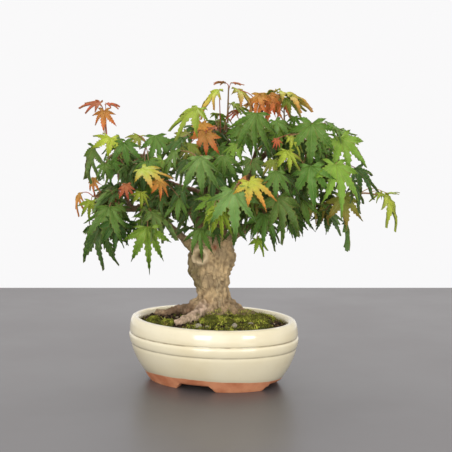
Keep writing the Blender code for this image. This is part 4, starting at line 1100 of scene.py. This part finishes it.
def makeShoots():
    # each shoot is a twig, with a stalk from it to every leaf
    paints = [leafPaint(), stalkPaint()]
    shape = makeLeafShape()
    total = 0
    for number, (name, (start, end, leaves)) in enumerate(shootPlan.items()):
        draw = np.random.default_rng(leafPlan["seed"] + number)
        leaves = fillLeaves(name, start, end, leaves, draw)
        start, end = np.array(start, float), np.array(end, float)
        bow = np.array((0, 0, 0.07 * np.linalg.norm(end - start)))
        twig = follow([start, start * 0.6 + end * 0.4 + bow, end], 12)
        heap = Heap()
        addStalk(heap, twig, np.linspace(1.15, 0.7, 12) * leafPlan["twig"], 10, leafPlan["twigTone"])
        for i, leaf in enumerate(leaves):
            junction = np.array(leaf[0], float)
            root = twig[max(3, 11 - int(i * 8 / max(1, len(leaves) - 1)))]
            rise = np.array((0, 0, 0.16 * np.linalg.norm(junction - root)))
            route = follow([root, root * 0.55 + junction * 0.45 + rise, junction], 9)
            size = leafPlan["petiole"] * (0.75 + 0.012 * leaf[1])
            addStalk(heap, route, np.linspace(1.25, 0.8, 9) * size, 7, tones[leaf[4]][2])
            heap.add(*makeLeaf(shape, leaf, draw))
        total += len(leaves)
        piece = buildPiece("leafyShoot_" + name, place(np.vstack(heap.points)), heap.faces, paints,
                           tints=np.vstack(heap.tints))
        mesh = piece.data
        mesh.polygons.foreach_set("material_index", np.array(heap.paintOf, np.int32))
        chart = mesh.uv_layers.new(name="leafMap")
        chart.data.foreach_set("uv", np.array(heap.corners, np.float32).ravel())
        mesh.set_sharp_from_angle(angle=math.radians(50))
        mesh.update()
        finishPiece(piece, "maple_leaf", "shoot_" + name)
    print("shoots:", len(shootPlan), "leaves:", total)


def finishDrains():
    # the screens and clips keep their own shape and only get a finish
    paints = {"drain_screen": plainPaint("black plastic mesh", (0.02, 0.02, 0.02), 0.55),
              "screen_clip": plainPaint("soft wire", (0.55, 0.53, 0.5), 0.35, 1.0)}
    for name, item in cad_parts.items():
        for start, paint in paints.items():
            if name.startswith(start):
                item.data.materials.clear()
                item.data.materials.append(paint)
    print("drain screens: finished")


studioPlan = {
    "floorFront": 900, "floorBack": -480, "floorHalf": 1600, "floorColour": (0.116, 0.106, 0.106),
    "worldLight": 0.95, "worldColour": (1.0, 0.995, 1.0), "lampAim": (0, 0, 110),
    # each lamp: right, toward, up, power and size
    "softboxes": [(-727, 1312, 350, 5.0, 0.44), (634, 1360, 350, 4.4, 0.40), (60, -330, 900, 5.0, 0.7),
                  (-60, 1500, 230, 5.2, 1.3)],
}


def makeStudio():
    # a grey table top whose back edge stands behind the pot, white all round, and soft lamps
    world = bpy.data.worlds.new("white room")
    world.use_nodes = True
    surround = world.node_tree.nodes["Background"].inputs
    surround["Color"].default_value = (*studioPlan["worldColour"], 1)
    surround["Strength"].default_value = studioPlan["worldLight"]
    bpy.context.scene.world = world
    half, back, front = studioPlan["floorHalf"], studioPlan["floorBack"], studioPlan["floorFront"]
    paint = Paint("table top", Specular_IOR_Level=0.5)
    cloud = paint.step(0.3, 0.7, paint.noise(5, 4.0))
    colour = studioPlan["floorColour"]
    dark = tuple(c * 0.86 for c in colour)
    paint.feed(Base_Color=paint.mix(cloud, dark, colour), Roughness=0.29 + cloud * 0.10)
    corners = place([(-half, front, 0), (half, front, 0), (half, back, 0), (-half, back, 0)])
    table = buildPiece("tableTop", corners, [(0, 1, 2, 3)], [paint.material], smooth=False)
    for number, (right, toward, up, power, size) in enumerate(studioPlan["softboxes"]):
        lamp = bpy.data.lights.new(f"softbox {number}", "AREA")
        lamp.energy = power
        lamp.size = size
        item = bpy.data.objects.new(f"softbox {number}", lamp)
        item.location = Vector(place((right, toward, up)))
        aim = Vector(place(studioPlan["lampAim"])) - item.location
        item.rotation_euler = aim.to_track_quat("-Z", "Y").to_euler()
        bpy.context.scene.collection.objects.link(item)
    print("studio: table and", len(studioPlan["softboxes"]), "lamps")


# camera: aimed beside the pot's middle, in the tree's own frame (right, toward the viewer, up)
cameraPlan = {"aim": (12.5, 0, 150.5), "distance": 1250, "elevation": 8.0, "lens": 104.5}


def makeCamera():
    aim = Vector(place(cameraPlan["aim"]))
    high = math.radians(cameraPlan["elevation"])
    away = Vector((math.sin(bestSide) * math.cos(high), -math.cos(bestSide) * math.cos(high), math.sin(high)))
    lens = bpy.data.cameras.new("camera")
    lens.lens = cameraPlan["lens"]
    lens.sensor_width = 36
    lens.clip_end = 20
    camera = bpy.data.objects.new("camera", lens)
    camera.location = aim + away * cameraPlan["distance"] * mm
    camera.rotation_euler = (-away).to_track_quat("-Z", "Y").to_euler()
    bpy.context.scene.collection.objects.link(camera)
    bpy.context.scene.camera = camera
    bpy.context.scene.view_settings.view_transform = "Standard"
    print("camera:", lens.lens, "mm")


makeCamera()
makeStudio()
makePot()
makeSoil()
makeMoss()
makeStones()
makeCarpet(makeTrunk())
makeShoots()
finishDrains()

bpy.context.view_layer.update()
